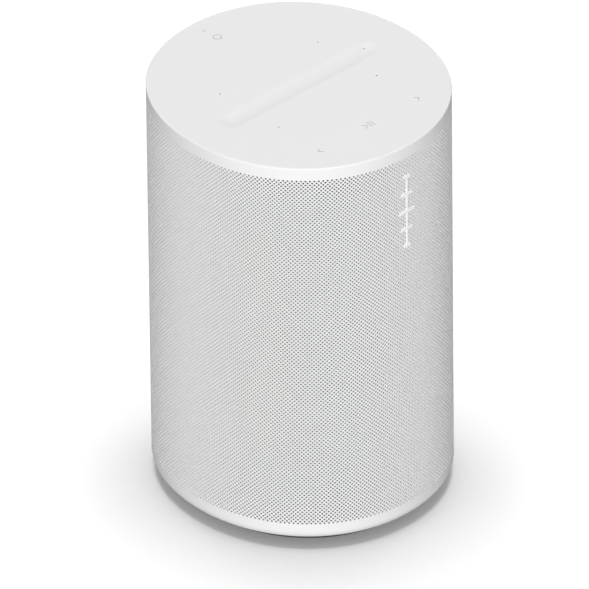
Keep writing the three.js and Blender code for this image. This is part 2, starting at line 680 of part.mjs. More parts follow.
// A shallow dome of one thickness: its edge is at a radius and height, and it rises to its crown.
function dome(radius, edge, rise, thickness, facets) {
  const sphere = (radius ** 2 + rise ** 2) / (2 * rise);
  const half = THREE.MathUtils.radToDeg(Math.asin(radius / sphere));
  const centre = [0, edge + rise - sphere];
  const outside = arc(centre, sphere, 90, 90 - half, 3);
  const inside = arc(centre, sphere - thickness, 90 - half, 90, 3);
  inside[inside.length - 1][0] = 0;
  outside[0][0] = 0;
  return solid(turned([...outside, ...inside], facets));
}

// The spider: a corrugated ring that centres the coil.
function wooferSpider() {
  const inner = COIL_RADIUS + CLEARANCE;
  const outer = BASKET_REAR_RADIUS + SPIDER_SEAT;
  const wave = Array.from({ length: SPIDER_STEPS + 1 }, (_, i) => [
    inner + ((outer - inner) * i) / SPIDER_STEPS,
    SPIDER_HEIGHT + (i % 2 ? SPIDER_WAVE : -SPIDER_WAVE),
  ]);
  const under = wave.map(([r, z]) => [r, z - MEMBRANE]).reverse();
  return solid(turned([...wave, ...under]));
}

function wooferYoke() {
  const back = -BASKET_DEPTH - TOP_PLATE_THICKNESS - MAGNET_THICKNESS;
  const radius = MAGNET_RADIUS - MAGNET_STEP;
  return solid(
    turned([
      [0, back - YOKE_THICKNESS],
      [radius, back - YOKE_THICKNESS],
      [radius, back],
      [POLE_RADIUS, back],
      [POLE_RADIUS, -BASKET_DEPTH],
      [0, -BASKET_DEPTH],
    ]),
  );
}

const magnetTop = -BASKET_DEPTH - TOP_PLATE_THICKNESS;
add("woofer_basket", "darkPlastic", wooferBasket(), woofer);
add("woofer_cone", "paper", wooferCone(), woofer);
add("woofer_surround", "rubber", wooferSurround(), woofer);
add(
  "woofer_dust_cap",
  "paper",
  dome(
    COIL_RADIUS + DUST_CAP_EDGE,
    NECK + DUST_CAP_EDGE + DUST_CAP_GLUE,
    DUST_CAP_RISE,
    MEMBRANE,
    ROUND_FACETS,
  ),
  woofer,
);
add("woofer_spider", "textile", wooferSpider(), woofer);
add(
  "voice_coil",
  "copper",
  tube(COIL_RADIUS - COIL_WALL, COIL_RADIUS, COIL_LOW, NECK + CLEARANCE),
  woofer,
);
add(
  "woofer_top_plate",
  "steel",
  tube(PLATE_BORE + COIL_SLACK, MAGNET_RADIUS - MAGNET_STEP, magnetTop, -BASKET_DEPTH),
  woofer,
);
add(
  "woofer_magnet",
  "ferrite",
  tube(COIL_RADIUS + MAGNET_BORE, MAGNET_RADIUS, magnetTop - MAGNET_THICKNESS, magnetTop),
  woofer,
);
add("woofer_yoke", "steel", wooferYoke(), woofer);
WOOFER_SCREW_PLACES.forEach(([x, y], i) => {
  const name = `woofer_screw_${i + 1}`;
  add(name, "steel", screw(WOOFER_SCREW_LENGTH), woofer).position.set(x, y, FLANGE_THICKNESS);
});

// ---- Tweeters ----

const TWEETER_WALL = 2;
const TWEETER_LEDGE = 0.8;
const TWEETER_DOME_RISE = 3;
const TWEETER_DOME_SHELL = 0.5;
const TWEETER_MAGNET_GAP = 0.5; // round the magnet in its cup
const TWEETER_MAGNET_TOP = -4;

// A wedge that stands on the baffle and turns the tweeter outwards.
function tweeterPod(side) {
  const barrel = atTweeter(post(TWEETER_POD_RADIUS, -POD_LENGTH, 0, 0, 0, DRIVER_FACETS), side);
  const bore = atTweeter(post(TWEETER_BORE, -POD_LENGTH - 1, 1, 0, 0, DRIVER_FACETS), side);
  const near = side * 2 * CLEARANCE;
  const room = block(
    [Math.min(near, side * FAR), -FAR, -FAR],
    [Math.max(near, side * FAR), BAFFLE_Y, FAR],
  );
  return cut(barrel, bore).intersect(room);
}

function tweeterBody() {
  const mouth = TWEETER_DOME_RADIUS + 2 * CLEARANCE;
  const inner = TWEETER_CUP_RADIUS - TWEETER_WALL;
  const seat = CLEARANCE;
  const face = seat + TWEETER_WALL;
  const ledge = seat + TWEETER_LEDGE;
  return solid(
    turned(
      [
        [mouth, face],
        [TWEETER_FLANGE_RADIUS, face],
        [TWEETER_FLANGE_RADIUS, seat],
        [TWEETER_CUP_RADIUS, seat],
        [TWEETER_CUP_RADIUS, -TWEETER_CUP_DEPTH],
        [inner, -TWEETER_CUP_DEPTH],
        [inner, ledge],
        [mouth, ledge],
      ],
      DRIVER_FACETS,
    ),
  );
}

for (const [side, hand] of [[-1, "left"], [1, "right"]]) {
  add(`tweeter_pod_${hand}`, "darkPlastic", tweeterPod(side));
  const seat = new THREE.Group();
  seat.position.set(side * TWEETER_X, TWEETER_Y, TWEETER_Z);
  seat.rotation.z = side * TWEETER_TURN;
  const tweeter = new THREE.Group();
  tweeter.rotation.x = Math.PI / 2;
  seat.add(tweeter);
  speaker.add(seat);
  const magnetRadius = TWEETER_CUP_RADIUS - TWEETER_WALL - TWEETER_MAGNET_GAP;
  const ends = [-TWEETER_CUP_DEPTH, TWEETER_MAGNET_TOP];
  const magnet = post(magnetRadius, ...ends, 0, 0, DRIVER_FACETS);
  const cap = [TWEETER_DOME_RADIUS, 0, TWEETER_DOME_RISE, TWEETER_DOME_SHELL];
  add(`tweeter_body_${hand}`, "darkPlastic", tweeterBody(), tweeter);
  add(`tweeter_dome_${hand}`, "textile", dome(...cap, DRIVER_FACETS), tweeter);
  add(`tweeter_magnet_${hand}`, "steel", magnet, tweeter);
}

// ---- Rear panel and its controls ----

// A rounded bar along Y: a stadium section of a width and height, lying along X.
function barAlongY(width, height, y0, y1, z) {
  const made = stadium(Math.max(width - height, 0.01) / 2, height / 2, 0, y1 - y0);
  return facingBack(made, 0, y0, z);
}

// The slot that the microphone switch runs in.
function switchSlot() {
  const half = SWITCH_WIDTH / 2 + CLEARANCE;
  const low = SWITCH_Z - SWITCH_HEIGHT / 2 - SWITCH_TRAVEL - CLEARANCE;
  return block([-half, 0, low], [half, FAR, SWITCH_Z + SWITCH_HEIGHT / 2 + CLEARANCE]);
}

function rearPanel() {
  const outer = PANEL_SINK;
  const inner = PANEL_THICKNESS;
  const whole = oval([
    [outer, PANEL_LOW],
    [outer, PANEL_HIGH],
    [inner, PANEL_HIGH],
    [inner, PANEL_LOW],
  ]).intersect(panelSlot(0));
  const bore = post(BUTTON_RADIUS + CLEARANCE, 0, FAR, 0, 0, DRIVER_FACETS);
  const buttonHole = facingBack(bore, 0, 0, BUTTON_Z);
  const grown = 2 * CLEARANCE;
  return cut(
    whole,
    buttonHole,
    switchSlot(),
    barAlongY(SOCKET_WIDTH + grown, SOCKET_HEIGHT + grown, 0, FAR, SOCKET_Z),
    barAlongY(INLET_WIDTH + grown, INLET_HEIGHT + grown, 0, FAR, INLET_Z),
  );
}

// The tactile switch stands on the main board, just short of the button's stem.
const TACT_HEIGHT = 3.5;
const TACT_HALF = 3;
const SLIDE_SWITCH_HALF = 4;
const SLIDE_SWITCH_HEIGHT = 4;
const STEM_RADIUS = 1.5;
const BUTTON_FLANGE = 1.2; // past the button's side
const BUTTON_CHAMFER = 0.4;
const SLIDER_FLANGE_HALF_WIDTH = 5;
const SLIDER_STEM_HALF_WIDTH = 1.2;
const OVERLAP = 0.1; // of blocks that are joined
const SOCKET_SINK = 0.2; // of the USB-C socket, below the controls' faces
const SOCKET_MOUTH = 6; // its depth
const PIN_ROOT = 2.7; // how far a pin runs into the inlet's floor
const FLANGE_FACE_Y = PANEL_INSIDE_Y - 2.5 * CLEARANCE; // the panel is curved, so this stays clear

function bluetoothButton() {
  const face = CONTROL_FACE_Y - BOARD_FACE_Y;
  const flange = FLANGE_FACE_Y - BOARD_FACE_Y;
  const stemEnd = TACT_HEIGHT + BUTTON_TRAVEL + CLEARANCE;
  const made = solid(
    turned(
      [
        [0, stemEnd],
        [STEM_RADIUS, stemEnd],
        [STEM_RADIUS, flange - CONTROL_FLANGE],
        [BUTTON_RADIUS + BUTTON_FLANGE, flange - CONTROL_FLANGE],
        [BUTTON_RADIUS + BUTTON_FLANGE, flange],
        [BUTTON_RADIUS, flange],
        [BUTTON_RADIUS, face - BUTTON_CHAMFER],
        [BUTTON_RADIUS - BUTTON_CHAMFER, face],
        [0, face],
      ],
      DRIVER_FACETS,
    ),
  );
  return facingBack(made, 0, BOARD_FACE_Y, BUTTON_Z);
}

function micSwitchSlider() {
  const low = SWITCH_Z - SWITCH_HEIGHT / 2;
  const high = SWITCH_Z + SWITCH_HEIGHT / 2;
  const halfFlange = SWITCH_FLANGE_HEIGHT / 2;
  const flangeBack = FLANGE_FACE_Y - CONTROL_FLANGE;
  const stemEnd = BOARD_FACE_Y + SLIDE_SWITCH_HEIGHT + CLEARANCE;
  const part = (halfWidth, near, far, bottom, top) =>
    block([-halfWidth, near, bottom], [halfWidth, far, top]);
  const [middle, stem] = [SWITCH_Z, STEM_RADIUS];
  return join(
    part(SWITCH_WIDTH / 2, FLANGE_FACE_Y - OVERLAP, CONTROL_FACE_Y, low, high),
    part(SLIDER_FLANGE_HALF_WIDTH, flangeBack, FLANGE_FACE_Y, middle - halfFlange, middle + halfFlange),
    part(SLIDER_STEM_HALF_WIDTH, stemEnd, flangeBack + OVERLAP, middle - stem, middle + stem),
  );
}

function usbSocket() {
  const front = CONTROL_FACE_Y - SOCKET_SINK;
  const width = SOCKET_WIDTH - 2 * SOCKET_WALL;
  const height = SOCKET_HEIGHT - 2 * SOCKET_WALL;
  return cut(
    barAlongY(SOCKET_WIDTH, SOCKET_HEIGHT, BOARD_FACE_Y, front, SOCKET_Z),
    barAlongY(width, height, front - SOCKET_MOUTH, front + 1, SOCKET_Z),
  );
}

const INLET_FACE_Y = HALF_DEPTH - INLET_SINK;
const INLET_FLOOR_Y = INLET_FACE_Y - INLET_MOUTH_DEPTH;

function mainsInlet() {
  const body = barAlongY(INLET_WIDTH, INLET_HEIGHT, INLET_FACE_Y - INLET_DEPTH, INLET_FACE_Y, INLET_Z);
  const mouth = stadium(INLET_MOUTH_HALF_SPAN, INLET_MOUTH_RADIUS, 0, INLET_MOUTH_DEPTH + 1);
  const pinHoles = [-1, 1].map((side) => {
    const x = (side * PIN_SPACING) / 2;
    const hole = post(PIN_RADIUS + CLEARANCE, -PIN_ROOT - CLEARANCE, 1, x, 0, TINY_FACETS);
    return facingBack(hole, 0, INLET_FLOOR_Y, INLET_Z);
  });
  return cut(body, facingBack(mouth, 0, INLET_FLOOR_Y, INLET_Z), ...pinHoles);
}

add("rear_panel", "shell", rearPanel());
add("bluetooth_button", "shell", bluetoothButton());
add("mic_switch_slider", "shell", micSwitchSlider());
add("usb_c_socket", "steel", usbSocket());
add("mains_inlet", "darkPlastic", mainsInlet());
[-1, 1].forEach((side, i) => {
  const pin = post(PIN_RADIUS, -PIN_ROOT, PIN_LENGTH, (side * PIN_SPACING) / 2, 0, TINY_FACETS);
  add(`inlet_pin_${i + 1}`, "brass", facingBack(pin, 0, INLET_FLOOR_Y, INLET_Z));
});

// ---- Electronics ----

const SINK_HALF = 12; // half the heat sink's width and height
const SINK_BASE = 2;
const SINK_HEIGHT = 6.5;
const FIN_HALF = 0.75;
const RIBBON_REACH = 12; // how far the ribbon runs forward under the touch board
const RIBBON_DROP = 16; // how far it ends below the main board's top

function heatSink() {
  const high = MAIN_BOARD_HIGH - 2;
  const low = high - 2 * SINK_HALF;
  const face = BOARD_FACE_Y + SINK_BASE;
  const base = block([-SINK_HALF, BOARD_FACE_Y, low], [SINK_HALF, face, high]);
  const fins = [-1, -0.5, 0, 0.5, 1].map((place) => {
    const x = place * (SINK_HALF - FIN_HALF);
    const tip = BOARD_FACE_Y + SINK_HEIGHT;
    return block([x - FIN_HALF, face - OVERLAP, low], [x + FIN_HALF, tip, high]);
  });
  return join(base, ...fins);
}

// A ribbon that drops from the touch board, behind the cabinet, to the front of the main board.
function flatCable() {
  const top = TOUCH_BOARD_BOTTOM - CLEARANCE;
  const front = BOARD_FACE_Y - BOARD_THICKNESS - CLEARANCE;
  const y = (CABINET_BACK_Y + front) / 2;
  const low = MAIN_BOARD_HIGH - RIBBON_DROP;
  const half = RIBBON_WIDTH / 2;
  const t = RIBBON_THICKNESS;
  return join(
    block([-half, y - RIBBON_REACH, top - t], [half, y + t, top]),
    block([-half, y, low], [half, y + t, top]),
    block([-half, y, low], [half, front, low + t]),
  );
}

// The base plate's posts stand over the middle of the foot ring, which hides their screws.
const POST_PLACES = fourPlaces(FOOT_OUTER_INSET + FOOT_WIDTH / 2, POST_ANGLE);
const POWER_BOARD_LOW = BASE_FLOOR_TOP + POWER_BOARD_LIFT;
const POWER_BOARD_TOP = POWER_BOARD_LOW + BOARD_THICKNESS;
const BOARD_BACK_Y = BOARD_FACE_Y - BOARD_THICKNESS;
add(
  "main_board",
  "circuitBoard",
  block(
    [-MAIN_BOARD_WIDTH / 2, BOARD_BACK_Y, MAIN_BOARD_LOW],
    [MAIN_BOARD_WIDTH / 2, BOARD_FACE_Y, MAIN_BOARD_HIGH],
  ),
);
add("heat_sink", "aluminium", heatSink());
add(
  "button_switch",
  "greyPlastic",
  block(
    [-TACT_HALF, BOARD_FACE_Y, BUTTON_Z - TACT_HALF],
    [TACT_HALF, BOARD_FACE_Y + TACT_HEIGHT, BUTTON_Z + TACT_HALF],
  ),
);
add(
  "mic_switch_body",
  "greyPlastic",
  block(
    [-SLIDE_SWITCH_HALF, BOARD_FACE_Y, SWITCH_Z - 2 * SLIDE_SWITCH_HALF],
    [SLIDE_SWITCH_HALF, BOARD_FACE_Y + SLIDE_SWITCH_HEIGHT, SWITCH_Z + SWITCH_HEIGHT],
  ),
);
add("flat_cable", "greyPlastic", flatCable());
const halfBoard = [
  POST_PLACES[1][0] - POST_RADIUS - POWER_BOARD_SIDE_MARGIN,
  HALF_DEPTH - POWER_BOARD_END_MARGIN,
];
add(
  "power_board",
  "circuitBoard",
  block([-halfBoard[0], -halfBoard[1], POWER_BOARD_LOW], [...halfBoard, POWER_BOARD_TOP]),
);
const TRANSFORMER_LOW = [-26, -18]; // x and y of its corners
const TRANSFORMER_HIGH = [0, 6];
const TRANSFORMER_HEIGHT = 16;
const CAPACITOR_PLACE = [14, -20];
const CAPACITOR_RADIUS = 8;
const CAPACITOR_HEIGHT = 17;
const CAPACITOR_FACETS = 20;
const ANTENNA_X = [12, 38]; // from the middle, on each side
const ANTENNA_Y = [4, 14];
const ANTENNA_THICKNESS = 1;
add(
  "transformer",
  "ferrite",
  block(
    [...TRANSFORMER_LOW, POWER_BOARD_TOP],
    [...TRANSFORMER_HIGH, POWER_BOARD_TOP + TRANSFORMER_HEIGHT],
  ),
);
const canEnds = [POWER_BOARD_TOP, POWER_BOARD_TOP + CAPACITOR_HEIGHT];
const can = post(CAPACITOR_RADIUS, ...canEnds, ...CAPACITOR_PLACE, CAPACITOR_FACETS);
add("bulk_capacitor", "darkPlastic", can);
for (const [side, hand] of [[-1, "left"], [1, "right"]]) {
  const [near, far] = ANTENNA_X.map((x) => side * x).sort((a, b) => a - b);
  const top = CABINET_TOP + ANTENNA_THICKNESS;
  const made = block([near, ANTENNA_Y[0], CABINET_TOP], [far, ANTENNA_Y[1], top]);
  add(`antenna_${hand}`, "brass", made);
}

// ---- Base ----

const SCREW_POCKET = FOOT_HEIGHT + SCREW_HEAD_HEIGHT + CLEARANCE; // height of the pockets' ceilings
const BASE_SCREW_LENGTH = 12;
const RIM_STEP = 3; // from the base plate's neck to its raised floor

function basePlate() {
  const neck = LIP_REACH + CLEARANCE;
  const flange = WALL + CLEARANCE;
  const step = neck + RIM_STEP;
  const tray = oval([
    [AXIS, FOOT_HEIGHT],
    [neck, FOOT_HEIGHT],
    [neck, LIP_TOP],
    [flange, LIP_TOP],
    [flange, LIP_TOP + BASE_FLANGE],
    [step, LIP_TOP + BASE_FLANGE],
    [step, BASE_FLOOR_TOP],
    [AXIS, BASE_FLOOR_TOP],
  ]);
  const posts = POST_PLACES.map(([x, y]) => post(POST_RADIUS, FOOT_HEIGHT, CABINET_BOTTOM, x, y));
  const boss = post(
    INSERT_RADIUS + INSERT_WALL,
    FOOT_HEIGHT,
    FOOT_HEIGHT + INSERT_LENGTH,
    0,
    0,
    DRIVER_FACETS,
  );
  const bores = POST_PLACES.flatMap(([x, y]) => [
    post(SCREW_HEAD_RADIUS + CLEARANCE, 0, SCREW_POCKET, x, y),
    post(SCREW_RADIUS + CLEARANCE, 0, SCREW_POCKET + BASE_SCREW_LENGTH + 1, x, y, TINY_FACETS),
  ]);
  const insertHole = post(INSERT_RADIUS + CLEARANCE, 0, FAR, 0, 0, DRIVER_FACETS);
  return cut(join(tray, boss, ...posts), insertHole, ...bores);
}

function footRing() {
  const [outer, inner] = [FOOT_OUTER_INSET, FOOT_OUTER_INSET + FOOT_WIDTH];
  return oval([
    [outer + FOOT_CHAMFER, 0],
    [outer, FOOT_CHAMFER],
    [outer, FOOT_HEIGHT],
    [inner, FOOT_HEIGHT],
    [inner, FOOT_CHAMFER],
    [inner - FOOT_CHAMFER, 0],
  ]);
}

add("base_plate", "darkPlastic", basePlate());
add("foot_ring", "rubber", footRing());
add(
  "threaded_insert",
  "brass",
  tube(INSERT_BORE, INSERT_RADIUS, FOOT_HEIGHT, FOOT_HEIGHT + INSERT_LENGTH, DRIVER_FACETS),
);
POST_PLACES.forEach(([x, y], i) => {
  const made = add(`base_screw_${i + 1}`, "steel", screw(BASE_SCREW_LENGTH));
  made.rotation.x = Math.PI;
  made.position.set(x, y, SCREW_POCKET);
});

export default speaker;
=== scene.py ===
"""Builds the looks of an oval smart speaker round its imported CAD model."""

from math import cos, pi, radians, sin

import bmesh
import bpy
import numpy as np
from mathutils import Matrix, Vector
from mathutils.geometry import delaunay_2d_cdt


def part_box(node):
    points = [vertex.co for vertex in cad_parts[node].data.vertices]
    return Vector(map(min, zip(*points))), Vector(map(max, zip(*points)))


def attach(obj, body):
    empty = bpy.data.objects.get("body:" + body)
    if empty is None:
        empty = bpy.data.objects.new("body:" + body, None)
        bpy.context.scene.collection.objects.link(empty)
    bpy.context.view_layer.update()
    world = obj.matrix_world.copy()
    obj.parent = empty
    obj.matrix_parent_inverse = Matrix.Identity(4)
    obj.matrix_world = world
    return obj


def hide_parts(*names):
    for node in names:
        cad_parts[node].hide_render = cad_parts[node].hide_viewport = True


bl_info = {
    "name": "Smart Speaker Builder",
    "version": (1, 0, 0),
    "blender": (4, 5, 0),
    "location": "3D View > Sidebar > Speaker",
    "description": "Builds an oval smart speaker with a pierced housing, its finishes and a studio",
    "category": "Add Mesh",
}

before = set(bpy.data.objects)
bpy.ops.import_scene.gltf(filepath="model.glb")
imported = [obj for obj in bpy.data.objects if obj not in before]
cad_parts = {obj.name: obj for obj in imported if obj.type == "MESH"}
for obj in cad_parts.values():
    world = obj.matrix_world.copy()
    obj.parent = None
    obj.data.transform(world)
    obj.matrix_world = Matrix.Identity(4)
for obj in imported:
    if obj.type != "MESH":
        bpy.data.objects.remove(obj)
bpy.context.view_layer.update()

MM = 0.001
SPEAKER = "speaker"  # the body that everything fixed rides on
LEVEL = 0.99999  # a face whose normal's height is above this is shaded flat
HOUSING_LOW, HOUSING_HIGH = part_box("housing")
PLATE_LOW, PLATE_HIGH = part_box("top_plate")
PANEL_LOW, PANEL_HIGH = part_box("rear_panel")
FOOT_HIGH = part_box("foot_ring")[1]
MARK_LOW, MARK_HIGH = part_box("front_mark")
LIGHT_LOW, LIGHT_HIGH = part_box("status_light_guide")
HALF_WIDTH, HALF_DEPTH = HOUSING_HIGH.x, (HOUSING_HIGH.y - HOUSING_LOW.y) / 2
OVAL_POWER = 2.06

# The lattice of holes is counted in half pitches: COLUMNS round the oval from the middle of the
# front, ROWS up the wall. A hole sits wherever column plus row is even.
COLUMNS = 430
ROWS = 183
REAR_COLUMN = COLUMNS // 2
REAR_REACH = 22  # columns each side of the rear's middle that stay plain
REAR_ROWS = 112  # rows from the bottom that stay plain there
GRILLE_PANELS = 9

QUARTER = np.linspace(0, pi / 2, 7)  # the angles of a quarter round

SLOT_GAP = 0.3 * MM  # between the rear panel and the housing
LEDGE_TOP_DROP, LEDGE_LOW_DROP = 2.4 * MM, 3.9 * MM  # the ledge's faces, down from the rim
LEDGE_REACH = 4 * MM
RIM_INNER_ROUND = 0.2 * MM
LIP_HEIGHT, LIP_REACH = 1.5 * MM, 4.2 * MM  # the lip inside the housing's foot
MARK_SINK, MARK_EDGE = 0.2 * MM, 0.12 * MM  # below the wall's face, and the bars' rounds
TROUGH_EASE = 0.25 * MM  # over which the trough turns into the plate
TROUGH_SHOULDER = 0.8 * MM  # level plate round the trough
PLATE_BORDER = 0.2 * MM  # level plate inside its rounded edge
PANEL_EDGE = 0.2 * MM
PANEL_GRID_REACH, PANEL_GRID_STEP = 16, 1.6  # millimetres, of the points inside the rear panel
PANEL_GRID_ROWS = 30
PANEL_GRID_ROOM = 0.6 * MM  # from those points to an opening
BUTTON_FLANGE = 1.2 * MM
SWITCH_HALF_WIDTH, SWITCH_TOP, SWITCH_BOTTOM = 2.8 * MM, 85.3 * MM, 75.7 * MM
SOCKET_EDGE, PIN_EDGE = 0.1 * MM, 0.2 * MM
FOOT_WIDTH, FOOT_ROUND, FOOT_GROOVE = 12 * MM, 0.6 * MM, 1.2 * MM
GROOVE_SHARE = 0.4  # the groove's depth for its half width
VOICE_STEPS = 72
VOICE_POINT = radians(-68)  # where the speech bubble comes to a point
VOICE_PLACE, VOICE_OUTSIDE, VOICE_INSIDE = (0.7 * MM, 49.0 * MM), 1.85 * MM, 1.43 * MM
DOT_PLACE, DOT_RADIUS = np.array([38.1, 1.6]) * MM, 0.45 * MM
DOT_SINK, DOT_RAISE = 0.2 * MM, 0.12 * MM
WAVE_SCALE = 0.314  # a wave texture's scale times the pitch of its ridges

KEY_SIZE, REAR_SIZE, OVERHEAD_SIZE, WASH_SIZE = 3.5, 2.5, 1.2, 1.8  # metres across
SIDE_DISTANCE, TOP_DISTANCE = 5.0, 4.0
SIDE_ELEVATION, WASH_ELEVATION = radians(22), radians(85)
KEY_SWING = radians(2)  # from the camera's direction to the key light's
FLOOR_GLOW, FLOOR_REACH = 0.19, 5.0
AIM_ACROSS, AIM_DOWN = 1.727, 85.27  # millimetres from the middle of the top to the camera's aim
MARK_BARS = (3.6, 6.2, 8.5, 6.2, 3.6)  # millimetres, from the top bar down
MIC_PLACES = [
    ((low.x + high.x) / 2, (low.y + high.y) / 2)
    for low, high in (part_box(f"mic_boot_{number}") for number in range(1, 5))
]
LIGHT_PLACE = ((LIGHT_LOW.x + LIGHT_HIGH.x) / 2, (LIGHT_LOW.y + LIGHT_HIGH.y) / 2)

LENGTH = {"unit": "LENGTH", "precision": 5, "min": 0.0}


def length(name, description, millimetres):
    """A length in metres for the sidebar."""
    return bpy.props.FloatProperty(
        name=name, description=description, default=millimetres * MM, **LENGTH
    )


def colour(name, description, *rgb):
    """A colour for the sidebar."""
    return bpy.props.FloatVectorProperty(
        name=name, description=description, default=rgb, size=3, subtype="COLOR", min=0, max=1
    )


def level(name, description, amount):
    """A light's power or strength for the sidebar."""
    return bpy.props.FloatProperty(name=name, description=description, default=amount, min=0)


class HousingSizes(bpy.types.PropertyGroup):
    hole_width: length("Hole width", "Across one hole of the grille", 0.92)
    wall: length("Wall", "Thickness of the plain wall", 1.6)
    pierced_wall: length("Pierced wall", "Thickness of the wall where it has holes", 0.5)
    lattice_low: length("Lattice bottom", "Height at which the pierced wall starts", 11.9)
    foot_top: length("Foot band", "Height of the seam above the housing's foot", 8.7)
    lattice_drop: length("Plain band", "From the rim down to the top of the pierced wall", 5.2)
    rim_round: length("Rim round", "Radius of the rim's outer edge", 0.35)
    rim_width: length("Rim width", "Width of the rim round the top plate", 0.6)
    lower_round: length("Lower round", "Radius of the lower edge", 3.8)
    mark_raise: length("Mark height", "How far the front mark stands out", 0.3)
    mark_bar: length("Mark bar", "Height of one bar of the front mark", 1.6)
    mark_spine: length("Mark spine", "Width of the line that joins the bars", 1.0)


class TopSizes(bpy.types.PropertyGroup):
    plate_inset: length("Plate inset", "From the housing's outside to the plate's edge", 0.74)
    plate_round: length("Plate edge", "Radius of the plate's edge", 0.15)
    trough_width: length("Trough width", "Across the volume trough", 9.5)
    trough_depth: length("Trough depth", "Depth of the volume trough", 0.75)
    trough_half_span: length("Trough half span", "From the middle to the trough's end arcs", 37.5)
    mic_hole: length("Microphone hole", "Radius of a microphone hole", 0.45)
    light_hole: length("Light hole", "Radius of the hole for the status light", 0.7)
    sign_stroke: length("Sign stroke", "Width of a printed sign's line", 0.38)
    ink: length("Ink", "Thickness of the printed signs", 0.02)


class RearSizes(bpy.types.PropertyGroup):
    sink: length("Panel sink", "From the housing's outside to the panel's face", 0.15)
    thickness: length("Panel thickness", "Thickness of the rear panel", 2.45)
    corner: length("Panel corner", "Radius of the panel's corners", 1.0)
    edge: length("Control edge", "Radius on the edges of the controls", 0.25)


class SpeakerFinish(bpy.types.PropertyGroup):
    shell: colour("Housing", "Moulded housing", 0.80, 0.80, 0.80)
    plate: colour("Top plate", "Touch surface", 0.765, 0.765, 0.765)
    ink: colour("Printed signs", "Signs on the touch surface", 0.42, 0.42, 0.43)
    liner: colour("Acoustic cloth", "Cloth behind the holes", 0.06, 0.06, 0.06)


class StudioSettings(bpy.types.PropertyGroup):
    azimuth: bpy.props.FloatProperty(
        name="Azimuth",
        description="Camera's direction round the speaker",
        default=radians(-43.19),
        subtype="ANGLE",
    )
    elevation: bpy.props.FloatProperty(
        name="Elevation",
        description="Camera's height above the horizon",
        default=radians(33.825),
        subtype="ANGLE",
    )
    roll: bpy.props.FloatProperty(
        name="Roll", description="Camera's tilt", default=radians(-0.63), subtype="ANGLE"
    )
    distance: bpy.props.FloatProperty(
        name="Distance",
        description="From the camera to the middle of the top",
        default=8.0,
        unit="LENGTH",
    )
    lens: bpy.props.FloatProperty(
        name="Lens",
        description="Focal length in millimetres",
        default=1203.4,
        min=1,
        subtype="DISTANCE_CAMERA",
    )
    key: level("Key light", "Power of the front light in watts", 271.0)
    overhead: level("Overhead light", "Power of the light above in watts", 60.0)
    rear: level("Rear light", "Power of the light behind in watts", 105.0)
    wash: level("Floor light", "Power of the floor's own light in watts", 134.0)
    room: level("Room light", "Strength of the light from the room", 0.14)
    bounce: level("Bounced light", "Strength of the light from below", 0.34)


# Shapes -----------------------------------------------------------------------------------------


def oval_points(turn, inset=0.0):
    """Points and outward normals of the oval |x/a|^n + |y/b|^n = 1, moved in along the normal.

    turn goes from 0 at the middle of the front through 1/4 on the right, seen from the front, to 1.
    x is a * sin(t) and y is -b * cos(t), each sine and cosine raised to the power 2/n with its
    sign kept, where t is the angle whose arc length from the front is that share of the whole."""
    angle = np.interp(np.mod(turn, 1.0), ARC_SHARE, ARC_ANGLE)
    across, along = oval_at(angle)
    tilt_x = np.sign(across) * np.abs(across) ** (OVAL_POWER - 1) / HALF_WIDTH**OVAL_POWER
    tilt_y = np.sign(along) * np.abs(along) ** (OVAL_POWER - 1) / HALF_DEPTH**OVAL_POWER
    size = np.hypot(tilt_x, tilt_y)
    normal = np.stack([tilt_x / size, tilt_y / size], -1)
    return np.stack([across, along], -1) - normal * np.asarray(inset)[..., None]


def oval_at(angle):
    """The oval's point at an angle from the middle of the front."""
    power = 2 / OVAL_POWER
    sine, cosine = np.sin(angle), np.cos(angle)
    across = HALF_WIDTH * np.sign(sine) * np.abs(sine) ** power
    along = -HALF_DEPTH * np.sign(cosine) * np.abs(cosine) ** power
    return across, along


def arc_table(samples=40001):
    """The angle, its share of the oval's whole length, and that length, summed from chords."""
    angle = np.linspace(0, 2 * pi, samples)
    across, along = oval_at(angle)
    arc = np.concatenate([[0], np.cumsum(np.hypot(np.diff(across), np.diff(along)))])
    return angle, arc / arc[-1], arc[-1]


ARC_ANGLE, ARC_SHARE, GIRTH = arc_table()
HALF_PITCH = GIRTH / COLUMNS


def column_at(x, rear=False):
    """The column, counted in half pitches, at which the oval passes x at the front or the rear."""
    columns = np.linspace(0, COLUMNS / 4, 4001)
    found = np.interp(abs(x), oval_points(columns / COLUMNS)[:, 0], columns) * np.sign(x)
    return REAR_COLUMN - found if rear else found


def skin(columns, heights, inset=0.0):
    """Places on the housing's wall: a column round the oval, a height, and a depth below it."""
    flat = oval_points(np.asarray(columns) / COLUMNS, np.broadcast_to(inset, np.shape(columns)))
    return np.column_stack([flat, heights])


def row_height(rows, sizes):
    """The height of a row of the lattice, whose rows are evenly spaced."""
    low = sizes.lattice_low
    high = HOUSING_HIGH.z - sizes.lattice_drop
    return low + (high - low) * np.asarray(rows) / ROWS


def thickened(columns, heights, faces, outer, inner):
    """A closed wall from triangles drawn on the skin: the same triangles at two depths, turned
    round at the inner one, and a square across each edge that only one triangle has."""
    used, faces = np.unique(faces, return_inverse=True)
    faces = faces.reshape(-1, 3)
    columns, heights, count = columns[used], heights[used], len(used)
    points = np.concatenate([skin(columns, heights, outer), skin(columns, heights, inner)])
    edges = np.concatenate([faces[:, [0, 1]], faces[:, [1, 2]], faces[:, [2, 0]]])
    there, back = edges @ [count, 1], edges[:, ::-1] @ [count, 1]
    rim = edges[~np.isin(there, back)]
    walls = np.column_stack([rim[:, 1], rim[:, 0], rim[:, 0] + count, rim[:, 1] + count])
    return points, [faces, faces[:, ::-1] + count, walls]


